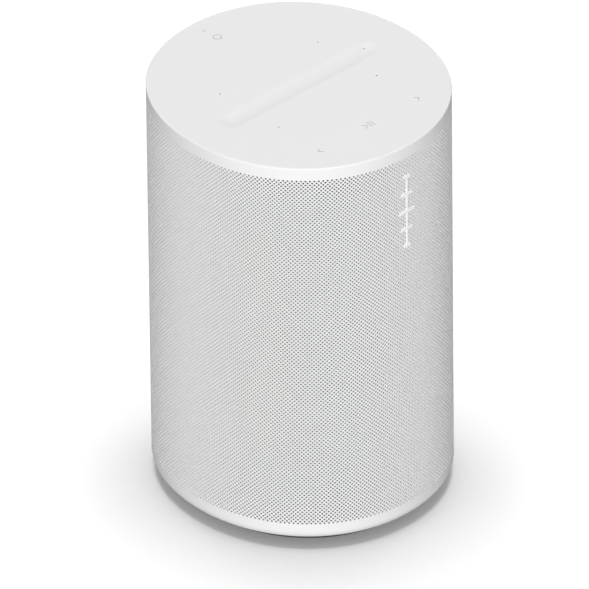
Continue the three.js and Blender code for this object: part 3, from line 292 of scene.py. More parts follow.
def grid_faces(loops, points, closed=True):
    """Squares between neighbouring loops that each hold the same number of points."""
    along = np.arange(points if closed else points - 1)
    ahead = (along + 1) % points
    start = np.arange(loops - 1)[:, None] * points
    corners = [start + along, start + ahead, start + points + ahead, start + points + along]
    return np.stack(corners, -1).reshape(-1, 4)


def swept_ring(profile, closed=True):
    """A profile of (inset, height) carried round the oval: one loop for each of its points."""
    turn = np.arange(COLUMNS) / COLUMNS
    loops = [
        np.column_stack([oval_points(turn, inset), np.full(COLUMNS, z)]) for inset, z in profile
    ]
    if closed:
        loops.append(loops[0])
    return np.concatenate(loops), [grid_faces(len(loops), COLUMNS)]


def joined(parts):
    """Several sets of points and faces as one, with points that share a place made one."""
    points = np.concatenate([part[0] for part in parts])
    offsets = np.cumsum([0] + [len(part[0]) for part in parts])
    faces = [group + offset for part, offset in zip(parts, offsets) for group in part[1]]
    _, first, same = np.unique(
        np.round(points, 8), axis=0, return_index=True, return_inverse=True
    )
    same = same.reshape(-1)
    return points[first], [tidied for group in faces for tidied in without_flat(same[group])]


def without_flat(faces):
    """Faces whose corners are all different, with squares that lost a corner made triangles."""
    if faces.shape[1] == 3:
        a, b, c = faces.T
        return [faces[(a != b) & (b != c) & (c != a)]]
    repeats = faces == np.roll(faces, -1, 1)
    whole = faces[repeats.sum(1) == 0]
    folded, where = faces[repeats.sum(1) == 1], repeats[repeats.sum(1) == 1].argmax(1)
    keep = (where[:, None] + np.arange(1, 4)) % 4
    return [whole, np.take_along_axis(folded, keep, 1)]


def flat_fill(loops, height, up=True, extra=()):
    """A level area inside the first loop and outside the others, split into triangles. A
    triangle with all its corners on one of the other loops lies in a hole, and is left out."""
    verts, edges, owner = [], [], []
    for number, loop in enumerate(loops):
        base, count = len(verts), len(loop)
        verts += [Vector(point) for point in loop]
        edges += [(base + i, base + (i + 1) % count) for i in range(count)]
        owner += [number] * count
    verts += [Vector(point) for point in extra]
    owner += [0] * len(extra)
    found = delaunay_2d_cdt(verts, edges, [], 1, 1e-8)
    given = np.concatenate([*loops, np.reshape(extra, (-1, 2))])
    old = np.array([numbers[0] for numbers in found[3]])
    flat, owner = given[old], np.array(owner)[old]
    faces = np.array(found[2])
    in_hole = (owner[faces] == owner[faces[:, :1]]).all(1) & (owner[faces[:, 0]] > 0)
    faces = faces[~in_hole]
    a, b, c = (flat[faces[:, i]] for i in range(3))
    turn = np.cross(b - a, c - a)
    faces = np.where((turn > 0)[:, None] == up, faces, faces[:, ::-1])
    return np.column_stack([flat, np.full(len(flat), height)]), [faces]


def circle(centre, radius, count=24):
    """Points of a circle, anticlockwise."""
    angle = np.arange(count) / count * 2 * pi
    return np.column_stack([centre[0] + radius * np.cos(angle), centre[1] + radius * np.sin(angle)])


def stadium(half_span, radius, arc=17, side=12):
    """Points of two half circles joined by straight sides, anticlockwise from the lower right."""
    swing = np.linspace(-pi / 2, pi / 2, arc)
    right = np.column_stack([half_span + radius * np.cos(swing), radius * np.sin(swing)])
    top = np.linspace(half_span, -half_span, side + 2)[1:-1]
    top = np.column_stack([top, np.full(side, radius)])
    return np.concatenate([right, top, -right, -top])


def tube(loop, low, high):
    """The inside of a hole through a plate: the loop at two heights, its faces turned inwards."""
    rings = [np.column_stack([loop, np.full(len(loop), z)]) for z in (high, low)]
    return np.concatenate(rings), [grid_faces(2, len(loop))]


def slab(loop, low, high):
    """A closed flat plate: the loop's area at two heights and the wall between them."""
    top, bottom = flat_fill([loop], high), flat_fill([loop], low, up=False)
    rings = [np.column_stack([loop, np.full(len(loop), z)]) for z in (low, high)]
    return joined([top, bottom, (np.concatenate(rings), [grid_faces(2, len(loop))])])


def ribbon(path, width):
    """The outline of a line of even width: the path moved out to each side by half of it, along
    the mean of its neighbours' normals, lengthened where the path turns."""
    path = np.asarray(path, float)
    steps = np.diff(path, axis=0)
    steps /= np.linalg.norm(steps, axis=1)[:, None]
    sides = np.column_stack([-steps[:, 1], steps[:, 0]])
    before, after = np.vstack([sides[:1], sides]), np.vstack([sides, sides[-1:]])
    mean = before + after
    mean /= (mean * after).sum(1)[:, None]
    return np.concatenate([path - mean * width / 2, (path + mean * width / 2)[::-1]])


# Pieces -----------------------------------------------------------------------------------------


def new_piece(name, shape, slot, body=SPEAKER, replaces=(), crease=40, material=None):
    """Puts points and faces into a mesh, gives it its finish and lets it ride on its body."""
    points, groups = shape
    groups = [group for group in groups if len(group)]
    corners = np.concatenate([group.ravel() for group in groups])
    sizes = np.concatenate([np.full(len(group), group.shape[1]) for group in groups])
    starts = np.concatenate([[0], np.cumsum(sizes)[:-1]])
    mesh = bpy.data.meshes.new(name)
    mesh.vertices.add(len(points))
    mesh.vertices.foreach_set("co", np.asarray(points, np.float32).ravel())
    mesh.loops.add(len(corners))
    mesh.loops.foreach_set("vertex_index", corners.astype(np.int32))
    mesh.polygons.add(len(sizes))
    mesh.polygons.foreach_set("loop_start", starts.astype(np.int32))
    mesh.update(calc_edges=True)
    if mesh.validate():
        raise RuntimeError(f"{name} has faces that had to be mended")
    return settle(name, mesh, slot, body, replaces, crease, material)


def settle(name, mesh, slot, body, replaces, crease, material=None):
    """Links a mesh as a piece, with smooth faces between its creases."""
    facing = np.empty(3 * len(mesh.polygons), np.float32)
    mesh.polygons.foreach_get("normal", facing)
    level = np.abs(facing.reshape(-1, 3)[:, 2]) > LEVEL
    mesh.shade_smooth()
    mesh.polygons.foreach_set("use_smooth", ~level)
    mesh.set_sharp_from_angle(angle=radians(crease))
    mesh.materials.clear()
    mesh.materials.append(bpy.data.materials[material or slot])
    piece = bpy.data.objects.new(name, mesh)
    bpy.context.scene.collection.objects.link(piece)
    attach(piece, body)
    if replaces:
        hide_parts(*replaces)
    return piece


def rounded(piece, edge, segments=2, crease=40):
    """Rounds the creases of a piece."""
    bevel = piece.modifiers.new("edges", "BEVEL")
    bevel.width, bevel.segments = edge, segments
    bevel.limit_method, bevel.angle_limit = "ANGLE", radians(crease)
    bevel.use_clamp_overlap = True
    bevel.harden_normals = True
    return piece


def fine_copy(node, slot, edge, body=SPEAKER, material=None):
    """A copy of a CAD node with its triangles joined up and its creases rounded."""
    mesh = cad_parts[node].data.copy()
    shape = bmesh.new()
    shape.from_mesh(mesh)
    bmesh.ops.remove_doubles(shape, verts=shape.verts, dist=1e-6)
    bmesh.ops.dissolve_limit(
        shape, angle_limit=radians(0.5), verts=shape.verts, edges=shape.edges
    )
    shape.to_mesh(mesh)
    shape.free()
    piece = settle(f"{node}_fine", mesh, slot, body, [node], 35, material)
    return rounded(piece, edge)


# Housing ----------------------------------------------------------------------------------------

CORNERS = np.array([(1, 0), (0, 1), (-1, 0), (0, -1)])
RIGHT, TOP, LEFT, BOTTOM = CORNERS


def node_number(columns, rows):
    """A lattice point's number, row by row. Columns may run past the last one."""
    return rows * (COLUMNS + 2) + columns + 1


def mark_lines(sizes):
    """The front mark's bars and spine as (low column, high column, low height, high height)."""
    pitch = (MARK_HIGH.z - MARK_LOW.z - sizes.mark_bar) / (len(MARK_BARS) - 1)
    tops = MARK_HIGH.z - pitch * np.arange(len(MARK_BARS))
    bars = [
        (-column_at(width * MM / 2), column_at(width * MM / 2), top - sizes.mark_bar, top)
        for width, top in zip(MARK_BARS, tops)
    ]
    spine = column_at(sizes.mark_spine / 2)
    return bars, spine


def plain_under_mark(columns, heights, sizes):
    """True for each hole that lies wholly under the front mark."""
    near = (columns + COLUMNS / 2) % COLUMNS - COLUMNS / 2
    room = -sizes.hole_width / 2
    bars, spine = mark_lines(sizes)
    covered = (np.abs(near) < spine + room / HALF_PITCH) & (
        (heights > MARK_LOW.z - room) & (heights < MARK_HIGH.z + room)
    )
    for low, high, bottom, top in bars:
        wide = (near > low - room / HALF_PITCH) & (near < high + room / HALF_PITCH)
        covered |= wide & (heights > bottom - room) & (heights < top + room)
    return covered


def lattice_triangles(first, last, sizes):
    """The pierced wall from one column to another, as triangles on the skin.

    Each hole sits in a diamond that reaches to its four neighbours' corners. An eight-sided ring
    stands in the diamond, and each quarter is three triangles: one across the corner of the
    diamond and one at each side. A diamond without a hole is two triangles, and a diamond cut
    by an edge of the lattice is one."""
    grid_columns, grid_rows = np.meshgrid(np.arange(-1, COLUMNS + 1), np.arange(ROWS + 1))
    columns = grid_columns.ravel().astype(float)
    heights = row_height(grid_rows.ravel(), sizes)

    centre_columns, centre_rows = np.meshgrid(np.arange(first, last), np.arange(ROWS + 1))
    even = (centre_columns + centre_rows) % 2 == 0
    column, row = centre_columns[even], centre_rows[even]
    rear_from, rear_to = REAR_COLUMN - REAR_REACH, REAR_COLUMN + REAR_REACH
    beside = (column < rear_from) | (column > rear_to)
    above = row > REAR_ROWS
    whole = (row > 0) & (row < ROWS) & (beside | above)

    def corner(at, towards):
        return node_number(column[at] + towards[0], row[at] + towards[1])

    def triangle(at, *towards):
        return np.column_stack([corner(at, each) for each in towards])

    on_rear = ~beside & (row > 0)
    faces = [
        triangle((row == 0) & beside, LEFT, RIGHT, TOP),
        triangle(row == ROWS, LEFT, BOTTOM, RIGHT),
        triangle(on_rear & (column == rear_from) & (row < REAR_ROWS), BOTTOM, TOP, LEFT),
        triangle(on_rear & (column == rear_to) & (row < REAR_ROWS), BOTTOM, RIGHT, TOP),
        triangle(~beside & (row == REAR_ROWS), LEFT, RIGHT, TOP),
    ]
    plain = whole & plain_under_mark(column, row_height(row, sizes), sizes)
    faces += [triangle(plain, LEFT, BOTTOM, RIGHT), triangle(plain, LEFT, RIGHT, TOP)]

    pierced = whole & ~plain
    angles = np.arange(8) * pi / 4
    radius = sizes.hole_width / 2
    ring_columns = column[pierced][:, None] + radius / HALF_PITCH * np.cos(angles)
    ring_heights = row_height(row[pierced], sizes)[:, None] + radius * np.sin(angles)
    ring = len(columns) + np.arange(ring_columns.size).reshape(-1, 8)
    for quadrant in range(4):
        here = corner(pierced, CORNERS[quadrant])
        there = corner(pierced, CORNERS[(quadrant + 1) % 4])
        start, middle, end = (ring[:, (2 * quadrant + step) % 8] for step in range(3))
        faces += [
            np.column_stack([here, there, middle]),
            np.column_stack([here, middle, start]),
            np.column_stack([there, end, middle]),
        ]
    columns = np.concatenate([columns, ring_columns.ravel()])
    heights = np.concatenate([heights, ring_heights.ravel()])
    return columns, heights, np.concatenate(faces)


def line_patch(columns, heights, keep):
    """Triangles on the skin for the cells of a grid of lines that keep(columns, heights) wants,
    asked at each cell's middle."""
    grid_columns, grid_heights = np.meshgrid(columns, heights)
    middle_columns = (grid_columns[:-1, :-1] + grid_columns[1:, 1:]) / 2
    middle_heights = (grid_heights[:-1, :-1] + grid_heights[1:, 1:]) / 2
    wanted = keep(middle_columns, middle_heights).ravel()
    across = len(columns)
    base = (np.arange(len(heights) - 1)[:, None] * across + np.arange(across - 1)).ravel()[wanted]
    lower = np.column_stack([base, base + 1, base + across + 1])
    upper = np.column_stack([base, base + across + 1, base + across])
    return grid_columns.ravel(), grid_heights.ravel(), np.concatenate([lower, upper])


class SPEAKER_OT_grille(bpy.types.Operator):
    """Makes the pierced wall of the housing, in panels that meet without a seam"""

    bl_idname = "speaker.grille"
    bl_label = "Pierced wall"

    def execute(self, context):
        sizes = context.scene.speaker_housing
        edges = np.linspace(0, COLUMNS, GRILLE_PANELS + 1).round().astype(int)
        for number, (first, last) in enumerate(zip(edges[:-1], edges[1:]), 1):
            wall = thickened(*lattice_triangles(first, last, sizes), 0.0, sizes.pierced_wall)
            new_piece(f"housing_grille_{number}", wall, "shell", replaces=["housing"], crease=60)
        return {"FINISHED"}


class SPEAKER_OT_bands(bpy.types.Operator):
    """Makes the plain bands above and below the pierced wall, with the rim, ledge and lower lip"""

    bl_idname = "speaker.bands"
    bl_label = "Plain bands"

    def execute(self, context):
        sizes = context.scene.speaker_housing
        wall, low, high = sizes.wall, sizes.foot_top, HOUSING_HIGH.z - sizes.lattice_drop
        rim, top, width = sizes.rim_round, HOUSING_HIGH.z, sizes.rim_width
        ledge_top, ledge_low = top - LEDGE_TOP_DROP, top - LEDGE_LOW_DROP
        inner = RIM_INNER_ROUND
        rim_profile = [(0, high), (0, (high + top) / 2)]
        rim_profile += [(rim - rim * cos(a), top - rim + rim * sin(a)) for a in QUARTER]
        rim_profile += [
            (width - inner * cos(a), top - inner + inner * sin(a)) for a in pi - QUARTER[::-1]
        ]
        rim_profile += [(width, ledge_top), (LEDGE_REACH, ledge_top), (LEDGE_REACH, ledge_low)]
        rim_profile += [(wall, ledge_low), (wall, high)]
        new_piece("housing_rim", joined([swept_ring(rim_profile)]), "shell", replaces=["housing"])

        curve, foot = sizes.lower_round, HOUSING_LOW.z
        lip_top = foot + LIP_HEIGHT
        foot_profile = [(wall, low), (wall, lip_top), (LIP_REACH, lip_top), (LIP_REACH, foot)]
        foot_profile += [(curve - curve * sin(a), foot + curve - curve * cos(a)) for a in QUARTER]
        foot_profile += [(0, low)]
        new_piece("housing_foot", joined([swept_ring(foot_profile)]), "shell",
                  replaces=["housing"])

        self.lower_band(sizes)
        self.rear_surround(sizes)
        return {"FINISHED"}

    def lower_band(self, sizes):
        """The plain wall below the holes, from one side of the rear surround to the other."""
        start, end = REAR_COLUMN + REAR_REACH, COLUMNS + REAR_COLUMN - REAR_REACH
        heights = np.array([sizes.foot_top, sizes.lattice_low])

        def everywhere(column, height):
            return column > 0

        patch = line_patch(np.arange(start, end + 1), heights, everywhere)
        new_piece("housing_lower_band", thickened(*patch, 0.0, sizes.wall), "shell",
                  replaces=["housing"])

    def rear_surround(self, sizes):
        """The plain wall round the rear panel's opening."""
        low, high = REAR_COLUMN - REAR_REACH, REAR_COLUMN + REAR_REACH
        half = column_at(PANEL_HIGH.x + SLOT_GAP, rear=True)
        sides = [half, 2 * REAR_COLUMN - half]
        columns = with_lines(np.arange(low, high + 1), sides)
        ends = [PANEL_LOW.z - SLOT_GAP, PANEL_HIGH.z + SLOT_GAP]
        rows = row_height(np.arange(REAR_ROWS + 1), sizes)
        heights = with_lines(np.concatenate([[sizes.foot_top], rows]), ends)

        def outside(column, height):
            within = (column > min(sides)) & (column < max(sides))
            return ~(within & (height > ends[0]) & (height < ends[1]))

        wall = thickened(*line_patch(columns, heights, outside), 0.0, sizes.wall)
        new_piece("housing_rear_surround", wall, "shell", replaces=["housing"])


def with_lines(lines, extra):
    """Grid lines with some more among them, leaving out any that would lie too close to those."""
    gap = 0.3 * np.diff(lines).min()
    far = [line for line in lines if min(abs(line - more) for more in extra) > gap]
    ends = [lines[0], lines[-1]]
    return np.unique(np.concatenate([far, ends, extra]))


class SPEAKER_OT_mark(bpy.types.Operator):
    """Makes the raised level meter sign on the front, bars on a spine that follow the curve"""

    bl_idname = "speaker.mark"
    bl_label = "Front mark"

    def execute(self, context):
        sizes = context.scene.speaker_housing
        bars, spine = mark_lines(sizes)
        columns = sorted({side for bar in bars for side in bar[:2]} | {-spine, spine, 0.0})
        heights = sorted({end for bar in bars for end in bar[2:]})

        def inked(column, height):
            drawn = np.abs(column) < spine
            for low, high, bottom, top in bars:
                drawn |= (column > low) & (column < high) & (height > bottom) & (height < top)
            return drawn

        raised = thickened(
            *line_patch(np.array(columns), np.array(heights), inked),
            -sizes.mark_raise, MARK_SINK,
        )
        piece = new_piece("front_mark_raised", raised, "mark", replaces=["front_mark"])
        rounded(piece, MARK_EDGE)
        return {"FINISHED"}


# Top --------------------------------------------------------------------------------------------


def trough_drop(distance, sizes):
    """How far the trough lies below the plate at a distance from its middle line: the height of a
    circle's cap of the trough's width and depth, eased into the plate over a small round."""
    half, depth = sizes.trough_width / 2, sizes.trough_depth
    radius = (half**2 + depth**2) / (2 * depth)
    cap = np.sqrt(np.maximum(radius**2 - distance**2, 0)) - (radius - depth)
    return (cap + np.sqrt(cap**2 + (TROUGH_EASE / 2) ** 2)) / 2


class SPEAKER_OT_top(bpy.types.Operator):
    """Makes the top plate with its trough, microphone holes and light hole"""

    bl_idname = "speaker.top"
    bl_label = "Top plate"

    def execute(self, context):
        sizes = context.scene.speaker_top
        top, low = PLATE_HIGH.z - sizes.ink, PLATE_LOW.z
        edge, inset = sizes.plate_round, sizes.plate_inset
        rim = [(inset, low), (inset, top - edge)]
        rim += [(inset + edge - edge * cos(a), top - edge + edge * sin(a)) for a in QUARTER[1:]]
        rim += [(inset + edge + PLATE_BORDER, top)]
        turn = np.arange(COLUMNS) / COLUMNS
        outline = oval_points(turn, rim[-1][0])
        bottom = oval_points(turn, inset)

        half, hold = sizes.trough_width / 2, TROUGH_SHOULDER
        # The trough's loops, from outside in, lie closest where the plate turns down into it.
        distances = half * np.concatenate([
            1 + np.array([hold, hold * 0.75]) / half,
            np.linspace(1.12, 0.85, 10),
            np.linspace(0.78, 0, 10),
        ])
        loops = [stadium(sizes.trough_half_span, distance, arc=33) for distance in distances]
        drops = trough_drop(distances, sizes)
        drops[:2] = 0
        trough = np.concatenate(
            [np.column_stack([loop, np.full(len(loop), top - drop)])
             for loop, drop in zip(loops, drops)]
        )
        holes = [circle(place, sizes.mic_hole) for place in MIC_PLACES]
        holes.append(circle(LIGHT_PLACE, sizes.light_hole, 32))
        parts = [
            swept_ring(rim, closed=False),
            (trough, [grid_faces(len(loops), len(loops[0]))]),
            flat_fill([outline, loops[0], *holes], top),
            flat_fill([bottom, *holes], low, up=False),
        ]
        parts += [tube(loop, low, top) for loop in holes]
        new_piece("top_plate_fine", joined(parts), "plate", replaces=["top_plate"])
        return {"FINISHED"}


class SPEAKER_OT_signs(bpy.types.Operator):
    """Prints the play, skip and voice signs on the top plate, and sets a small grey dot in the
    trough
    """

    bl_idname = "speaker.signs"
    bl_label = "Printed signs"

    def execute(self, context):
        sizes = context.scene.speaker_top
        stroke = sizes.sign_stroke

        def chevron(x, y, direction, depth, reach):
            tip = (x + direction * depth / 2, y)
            back = x - direction * depth / 2
            return ribbon(np.array([(back, y + reach), tip, (back, y - reach)]) * MM, stroke)

        def bar(x, y, reach):
            return ribbon(np.array([(x, y - reach), (x, y + reach)]) * MM, stroke)

        # Millimetres: x and y of the middle, a chevron's direction and depth, then the half height.
        signs = {
            "sign_play_pause": [
                chevron(-1.9, -41.2, 1, 1.6, 1.6), bar(0.25, -41.2, 1.9), bar(1.8, -41.2, 1.9)
            ],
            "sign_forward": [chevron(27.5, -41.0, 1, 1.55, 1.5)],
            "sign_back": [chevron(-27.5, -41.4, -1, 1.55, 1.5)],
        }
        low, high = PLATE_HIGH.z - 3 * sizes.ink, PLATE_HIGH.z
        for name, lines in signs.items():
            shapes = [slab(line, low, high) for line in lines]
            new_piece(name, joined(shapes), "grey_plastic", material="ink")
        self.voice_sign(sizes, low, high)
        return {"FINISHED"}

    def voice_sign(self, sizes, low, high):
        """A speech bubble: a ring whose outside is drawn out to a point at the lower right."""
        angle = np.arange(VOICE_STEPS) / VOICE_STEPS * 2 * pi
        swing = (angle - VOICE_POINT + pi) % (2 * pi) - pi
        outside = VOICE_OUTSIDE * (1 + 0.28 * np.exp(-((swing / 0.24) ** 2)))
        inside = VOICE_INSIDE * (1 + 0.12 * np.exp(-((swing / 0.2) ** 2)))
        centre_x, centre_y = VOICE_PLACE
        rings = [
            np.column_stack([
                centre_x + reach * np.cos(angle),
                centre_y + reach * np.sin(angle),
                np.full(VOICE_STEPS, z),
            ])
            for reach, z in ((outside, low), (outside, high), (inside, high), (inside, low))
        ]
        shape = np.concatenate([*rings, rings[0]]), [grid_faces(5, VOICE_STEPS)]
        new_piece("sign_voice", joined([shape]), "grey_plastic", material="ink")
        floor = PLATE_HIGH.z - sizes.ink - trough_drop(DOT_PLACE[1], sizes)
        dot = slab(circle(DOT_PLACE, DOT_RADIUS, 20), floor - DOT_SINK, floor + DOT_RAISE)
        new_piece("trough_dot", dot, "grey_plastic", material="ink")


# Rear and base ----------------------------------------------------------------------------------


class SPEAKER_OT_rear(bpy.types.Operator):
    """Makes the rear panel on the housing's curve, with openings for the controls and sockets"""

    bl_idname = "speaker.rear"
    bl_label = "Rear panel"

    def execute(self, context):
        sizes = context.scene.speaker_rear
        half, corner = PANEL_HIGH.x, sizes.corner
        low, high = PANEL_LOW.z, PANEL_HIGH.z
        centres = [(half - corner, low + corner, -pi / 2), (half - corner, high - corner, 0.0),
                   (corner - half, high - corner, pi / 2), (corner - half, low + corner, pi)]
        steps = np.linspace(half - corner, corner - half, 18)[1:-1]
        edges = [[], [(x, high) for x in steps], [], [(-x, low) for x in steps]]
        outline = np.concatenate([
            [(x + corner * cos(start + a), z + corner * sin(start + a)) for a in QUARTER] + edge
            for (x, z, start), edge in zip(centres, edges)
        ])
        holes = [opening(node) for node in ("bluetooth_button", "usb_c_socket", "mains_inlet")]
        holes.append(switch_slot())
        spread_x, spread_z = np.meshgrid(
            np.arange(-PANEL_GRID_REACH, PANEL_GRID_REACH + 0.1, PANEL_GRID_STEP) * MM,
            np.linspace(low + MM, high - MM, PANEL_GRID_ROWS),
        )
        extra = np.column_stack([spread_x.ravel(), spread_z.ravel()])
        clear = np.all([
            np.linalg.norm(extra[:, None] - hole, axis=2).min(1) > PANEL_GRID_ROOM
            for hole in holes
        ], axis=0) & ~np.any([inside_box(extra, hole) for hole in holes], axis=0)
        flat, (faces,) = flat_fill([outline, *holes], 0.0, extra=extra[clear])
        # Seen from behind, x runs the other way, so columns grow as x falls and faces turn round.
        columns = column_at(flat[:, 0], rear=True)
        plate = thickened(
            columns, flat[:, 1], faces[:, ::-1], sizes.sink, sizes.sink + sizes.thickness
        )
        piece = new_piece("rear_panel_fine", plate, "shell", replaces=["rear_panel"], crease=30)
        rounded(piece, PANEL_EDGE, crease=60)
        return {"FINISHED"}


def inside_box(points, loop):
    """True for each point inside the box round a loop."""
    return np.all((points > loop.min(0)) & (points < loop.max(0)), axis=1)


def opening(node):
    """The opening for a control: a stadium of its size with room to move all round."""
    low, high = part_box(node)
    flange = BUTTON_FLANGE if node == "bluetooth_button" else 0.0
    height = (high.z - low.z) / 2 - flange + SLOT_GAP
    width = (high.x - low.x) / 2 - flange + SLOT_GAP
    loop = stadium(max(width - height, 0.0), height, side=4)
    if width - height < 0.01 * MM:
        loop = circle((0, 0), height, 40)
    return loop + (0.0, (high.z + low.z) / 2)


def switch_slot():
    """The switch's slot: its knob's height and travel, with square corners."""
    half, top, bottom = SWITCH_HALF_WIDTH, SWITCH_TOP, SWITCH_BOTTOM
    return np.array([(-half, bottom), (half, bottom), (half, top), (-half, top)])


class SPEAKER_OT_controls(bpy.types.Operator):
    """Rounds the edges of the button, the switch, the sockets and the inlet's pins"""

    bl_idname = "speaker.controls"
    bl_label = "Controls and sockets"

    def execute(self, context):
        edge = context.scene.speaker_rear.edge
        fine_copy("bluetooth_button", "shell", edge, body="button")
        fine_copy("mic_switch_slider", "shell", edge, body="switch_slider")
        fine_copy("usb_c_socket", "steel", SOCKET_EDGE)
        fine_copy("mains_inlet", "dark_plastic", edge)
        for number in (1, 2):
            fine_copy(f"inlet_pin_{number}", "brass", PIN_EDGE)
        return {"FINISHED"}


class SPEAKER_OT_base(bpy.types.Operator):
    """Makes the rubber foot, an oval ring with rounded edges and a shallow groove"""

    bl_idname = "speaker.base"
    bl_label = "Foot"

    def execute(self, context):
        inset = HALF_WIDTH - FOOT_HIGH.x
        reach, curve, top = inset + FOOT_WIDTH, FOOT_ROUND, FOOT_HIGH.z
        profile = [(inset + curve - curve * sin(a), curve - curve * cos(a)) for a in QUARTER]
        profile += [(inset, top), (reach, top)]
        profile += [(reach - curve + curve * cos(a), curve - curve * sin(a)) for a in QUARTER]
        middle, groove = (inset + reach) / 2, FOOT_GROOVE
        profile += [
            (middle + groove * cos(a), groove * GROOVE_SHARE * sin(a)) for a in 2 * QUARTER
        ]
        new_piece("foot_ring_fine", joined([swept_ring(profile)]), "rubber",
                  replaces=["foot_ring"])
        return {"FINISHED"}


# Finishes ---------------------------------------------------------------------------------------


class Finish:
    """A material under construction: a Principled shader and the nodes that lead to it."""

    def __init__(self, name, **constants):
        self.material = bpy.data.materials.get(name) or bpy.data.materials.new(name)
        self.material.use_nodes = True
        self.nodes = self.material.node_tree.nodes
        self.links = self.material.node_tree.links
        self.nodes.clear()
        self.shader = self.nodes.new("ShaderNodeBsdfPrincipled")
        output = self.nodes.new("ShaderNodeOutputMaterial")
        self.links.new(self.shader.outputs[0], output.inputs["Surface"])
        self.place = self.nodes.new("ShaderNodeTexCoord").outputs["Object"]
        for socket, value in constants.items():
            self.shader.inputs[socket.replace("_", " ")].default_value = value

    def node(self, kind, inputs=(), **settings):
        """A node with its inputs set or linked, and its settings."""
        made = self.nodes.new(kind)
        for key, value in settings.items():
            setattr(made, key, value)
        for key, value in dict(inputs).items():
            if isinstance(value, bpy.types.NodeSocket):
                self.links.new(value, made.inputs[key])
            else:
                made.inputs[key].default_value = value
        return made

    def stretched(self, scale):
        """Object coordinates stretched along the axes."""
        return self.node("ShaderNodeMapping", {"Vector": self.place, "Scale": scale}).outputs[0]

    def noise(self, millimetres, detail=3.0, place=None):
        """Cloudy noise whose patches are about that wide."""
        inputs = {"Vector": place or self.place, "Scale": 1 / (millimetres * MM), "Detail": detail}
        return self.node("ShaderNodeTexNoise", inputs).outputs["Fac"]

    def cells(self, millimetres, feature="F1"):
        """The distance to the nearest of scattered points that are about that far apart."""
        inputs = {"Vector": self.place, "Scale": 1 / (millimetres * MM)}
        return self.node("ShaderNodeTexVoronoi", inputs, feature=feature).outputs["Distance"]

    def waves(self, millimetres, direction):
        """Even ridges across an axis, that far apart."""
        settings = {"wave_type": "BANDS", "wave_profile": "SIN", "bands_direction": direction}
        inputs = {"Vector": self.place, "Scale": WAVE_SCALE / (millimetres * MM)}
        return self.node("ShaderNodeTexWave", inputs, **settings).outputs["Fac"]

    def math(self, operation, first, second):
        """One sum on two values."""
        return self.node("ShaderNodeMath", {0: first, 1: second}, operation=operation).outputs[0]

    def range(self, value, low, high):
        """A value from 0 to 1 spread from low to high."""
        inputs = {"Value": value, "To Min": low, "To Max": high}
        return self.node("ShaderNodeMapRange", inputs).outputs["Result"]

    def colour(self, factor, first, second):
        """The base colour, mixed from two by a factor."""
        mix = self.node("ShaderNodeMix", data_type="RGBA")
        self.links.new(factor, mix.inputs[0])
        mix.inputs[6].default_value = (*first, 1)
        mix.inputs[7].default_value = (*second, 1)
        self.links.new(mix.outputs[2], self.shader.inputs["Base Color"])

    def rough(self, factor, low, high):
        """Roughness that a pattern spreads from low to high."""
        self.links.new(self.range(factor, low, high), self.shader.inputs["Roughness"])

    def bump(self, height, millimetres, strength=1.0):
        """Relief of that depth."""
        inputs = {"Height": height, "Distance": millimetres * MM, "Strength": strength}
        bump = self.node("ShaderNodeBump", inputs)
        self.links.new(bump.outputs["Normal"], self.shader.inputs["Normal"])


def shade(rgb, factor):
    """A colour made darker or lighter."""
    return tuple(min(1.0, channel * factor) for channel in rgb)


def moulded(name, rgb, low, high, grain=0.35, depth=0.006, drift=0.03, **constants):
    """Moulded plastic: a fine spark-eroded grain, slow drifts of tone and uneven gloss."""
    made = Finish(name, **constants)
    clouds, grit = made.noise(14, 4), made.noise(grain, 2)
    made.colour(clouds, shade(rgb, 1 - drift), shade(rgb, 1 + drift))
    made.rough(made.math("ADD", made.math("MULTIPLY", clouds, 0.5),
                         made.math("MULTIPLY", grit, 0.5)), low, high)
    made.bump(made.math("ADD", grit, made.math("MULTIPLY", made.cells(grain * 0.6), 0.4)), depth)


def metal(name, rgb, low, high, stretch=(60, 60, 1), width=2.0, depth=0.004, drift=0.12):
    """Worked metal: fine lines along one axis over slow clouds."""
    made = Finish(name, Metallic=1.0)
    lines = made.noise(width, 3, made.stretched(stretch))
    clouds = made.noise(5, 3)
    made.colour(clouds, shade(rgb, 1 - drift), rgb)
    made.rough(lines, low, high)
    made.bump(lines, depth)


def woven(name, rgb, pitch, low, high, depth, sheen=0.3):
    """Woven cloth: two sets of threads that cross, with fluff between them."""
    made = Finish(name, Sheen_Weight=sheen, Sheen_Roughness=0.6)
    warp, weft = made.waves(pitch, "Z"), made.waves(pitch, "DIAGONAL")
    threads, fluff = made.math("MAXIMUM", warp, weft), made.noise(pitch * 0.6, 3)
    made.colour(made.math("MULTIPLY", threads, fluff), shade(rgb, 0.55), shade(rgb, 1.25))
    made.rough(fluff, low, high)
    made.bump(threads, depth)


def fibrous(name, rgb, low, high):
    """Pressed paper pulp: short fibres over clouds."""
    made = Finish(name)
    fibres, clouds = made.noise(0.8, 5, made.stretched((1, 6, 2))), made.noise(4, 4)
    made.colour(made.math("MULTIPLY", fibres, clouds), shade(rgb, 0.7), shade(rgb, 1.5))
    made.rough(fibres, low, high)
    made.bump(fibres, 0.05)


def wound(name, rgb):
    """Enamelled wire wound in close turns."""
    made = Finish(name, Metallic=1.0)
    turns, clouds = made.waves(0.3, "Y"), made.noise(3, 3)
    made.colour(clouds, shade(rgb, 0.7), rgb)
    made.rough(turns, 0.22, 0.42)
    made.bump(turns, 0.06)


def circuit(name, rgb):
    """A lacquered circuit board: raised tracks seen as cells under the lacquer."""
    made = Finish(name, Coat_Weight=0.5, Coat_Roughness=0.15)
    tracks = made.range(made.cells(3.0, "DISTANCE_TO_EDGE"), 0.0, 6.0)
    glass = made.noise(0.5, 2)
    made.colour(tracks, shade(rgb, 1.5), rgb)
    made.rough(glass, 0.3, 0.5)
    made.bump(tracks, 0.03)


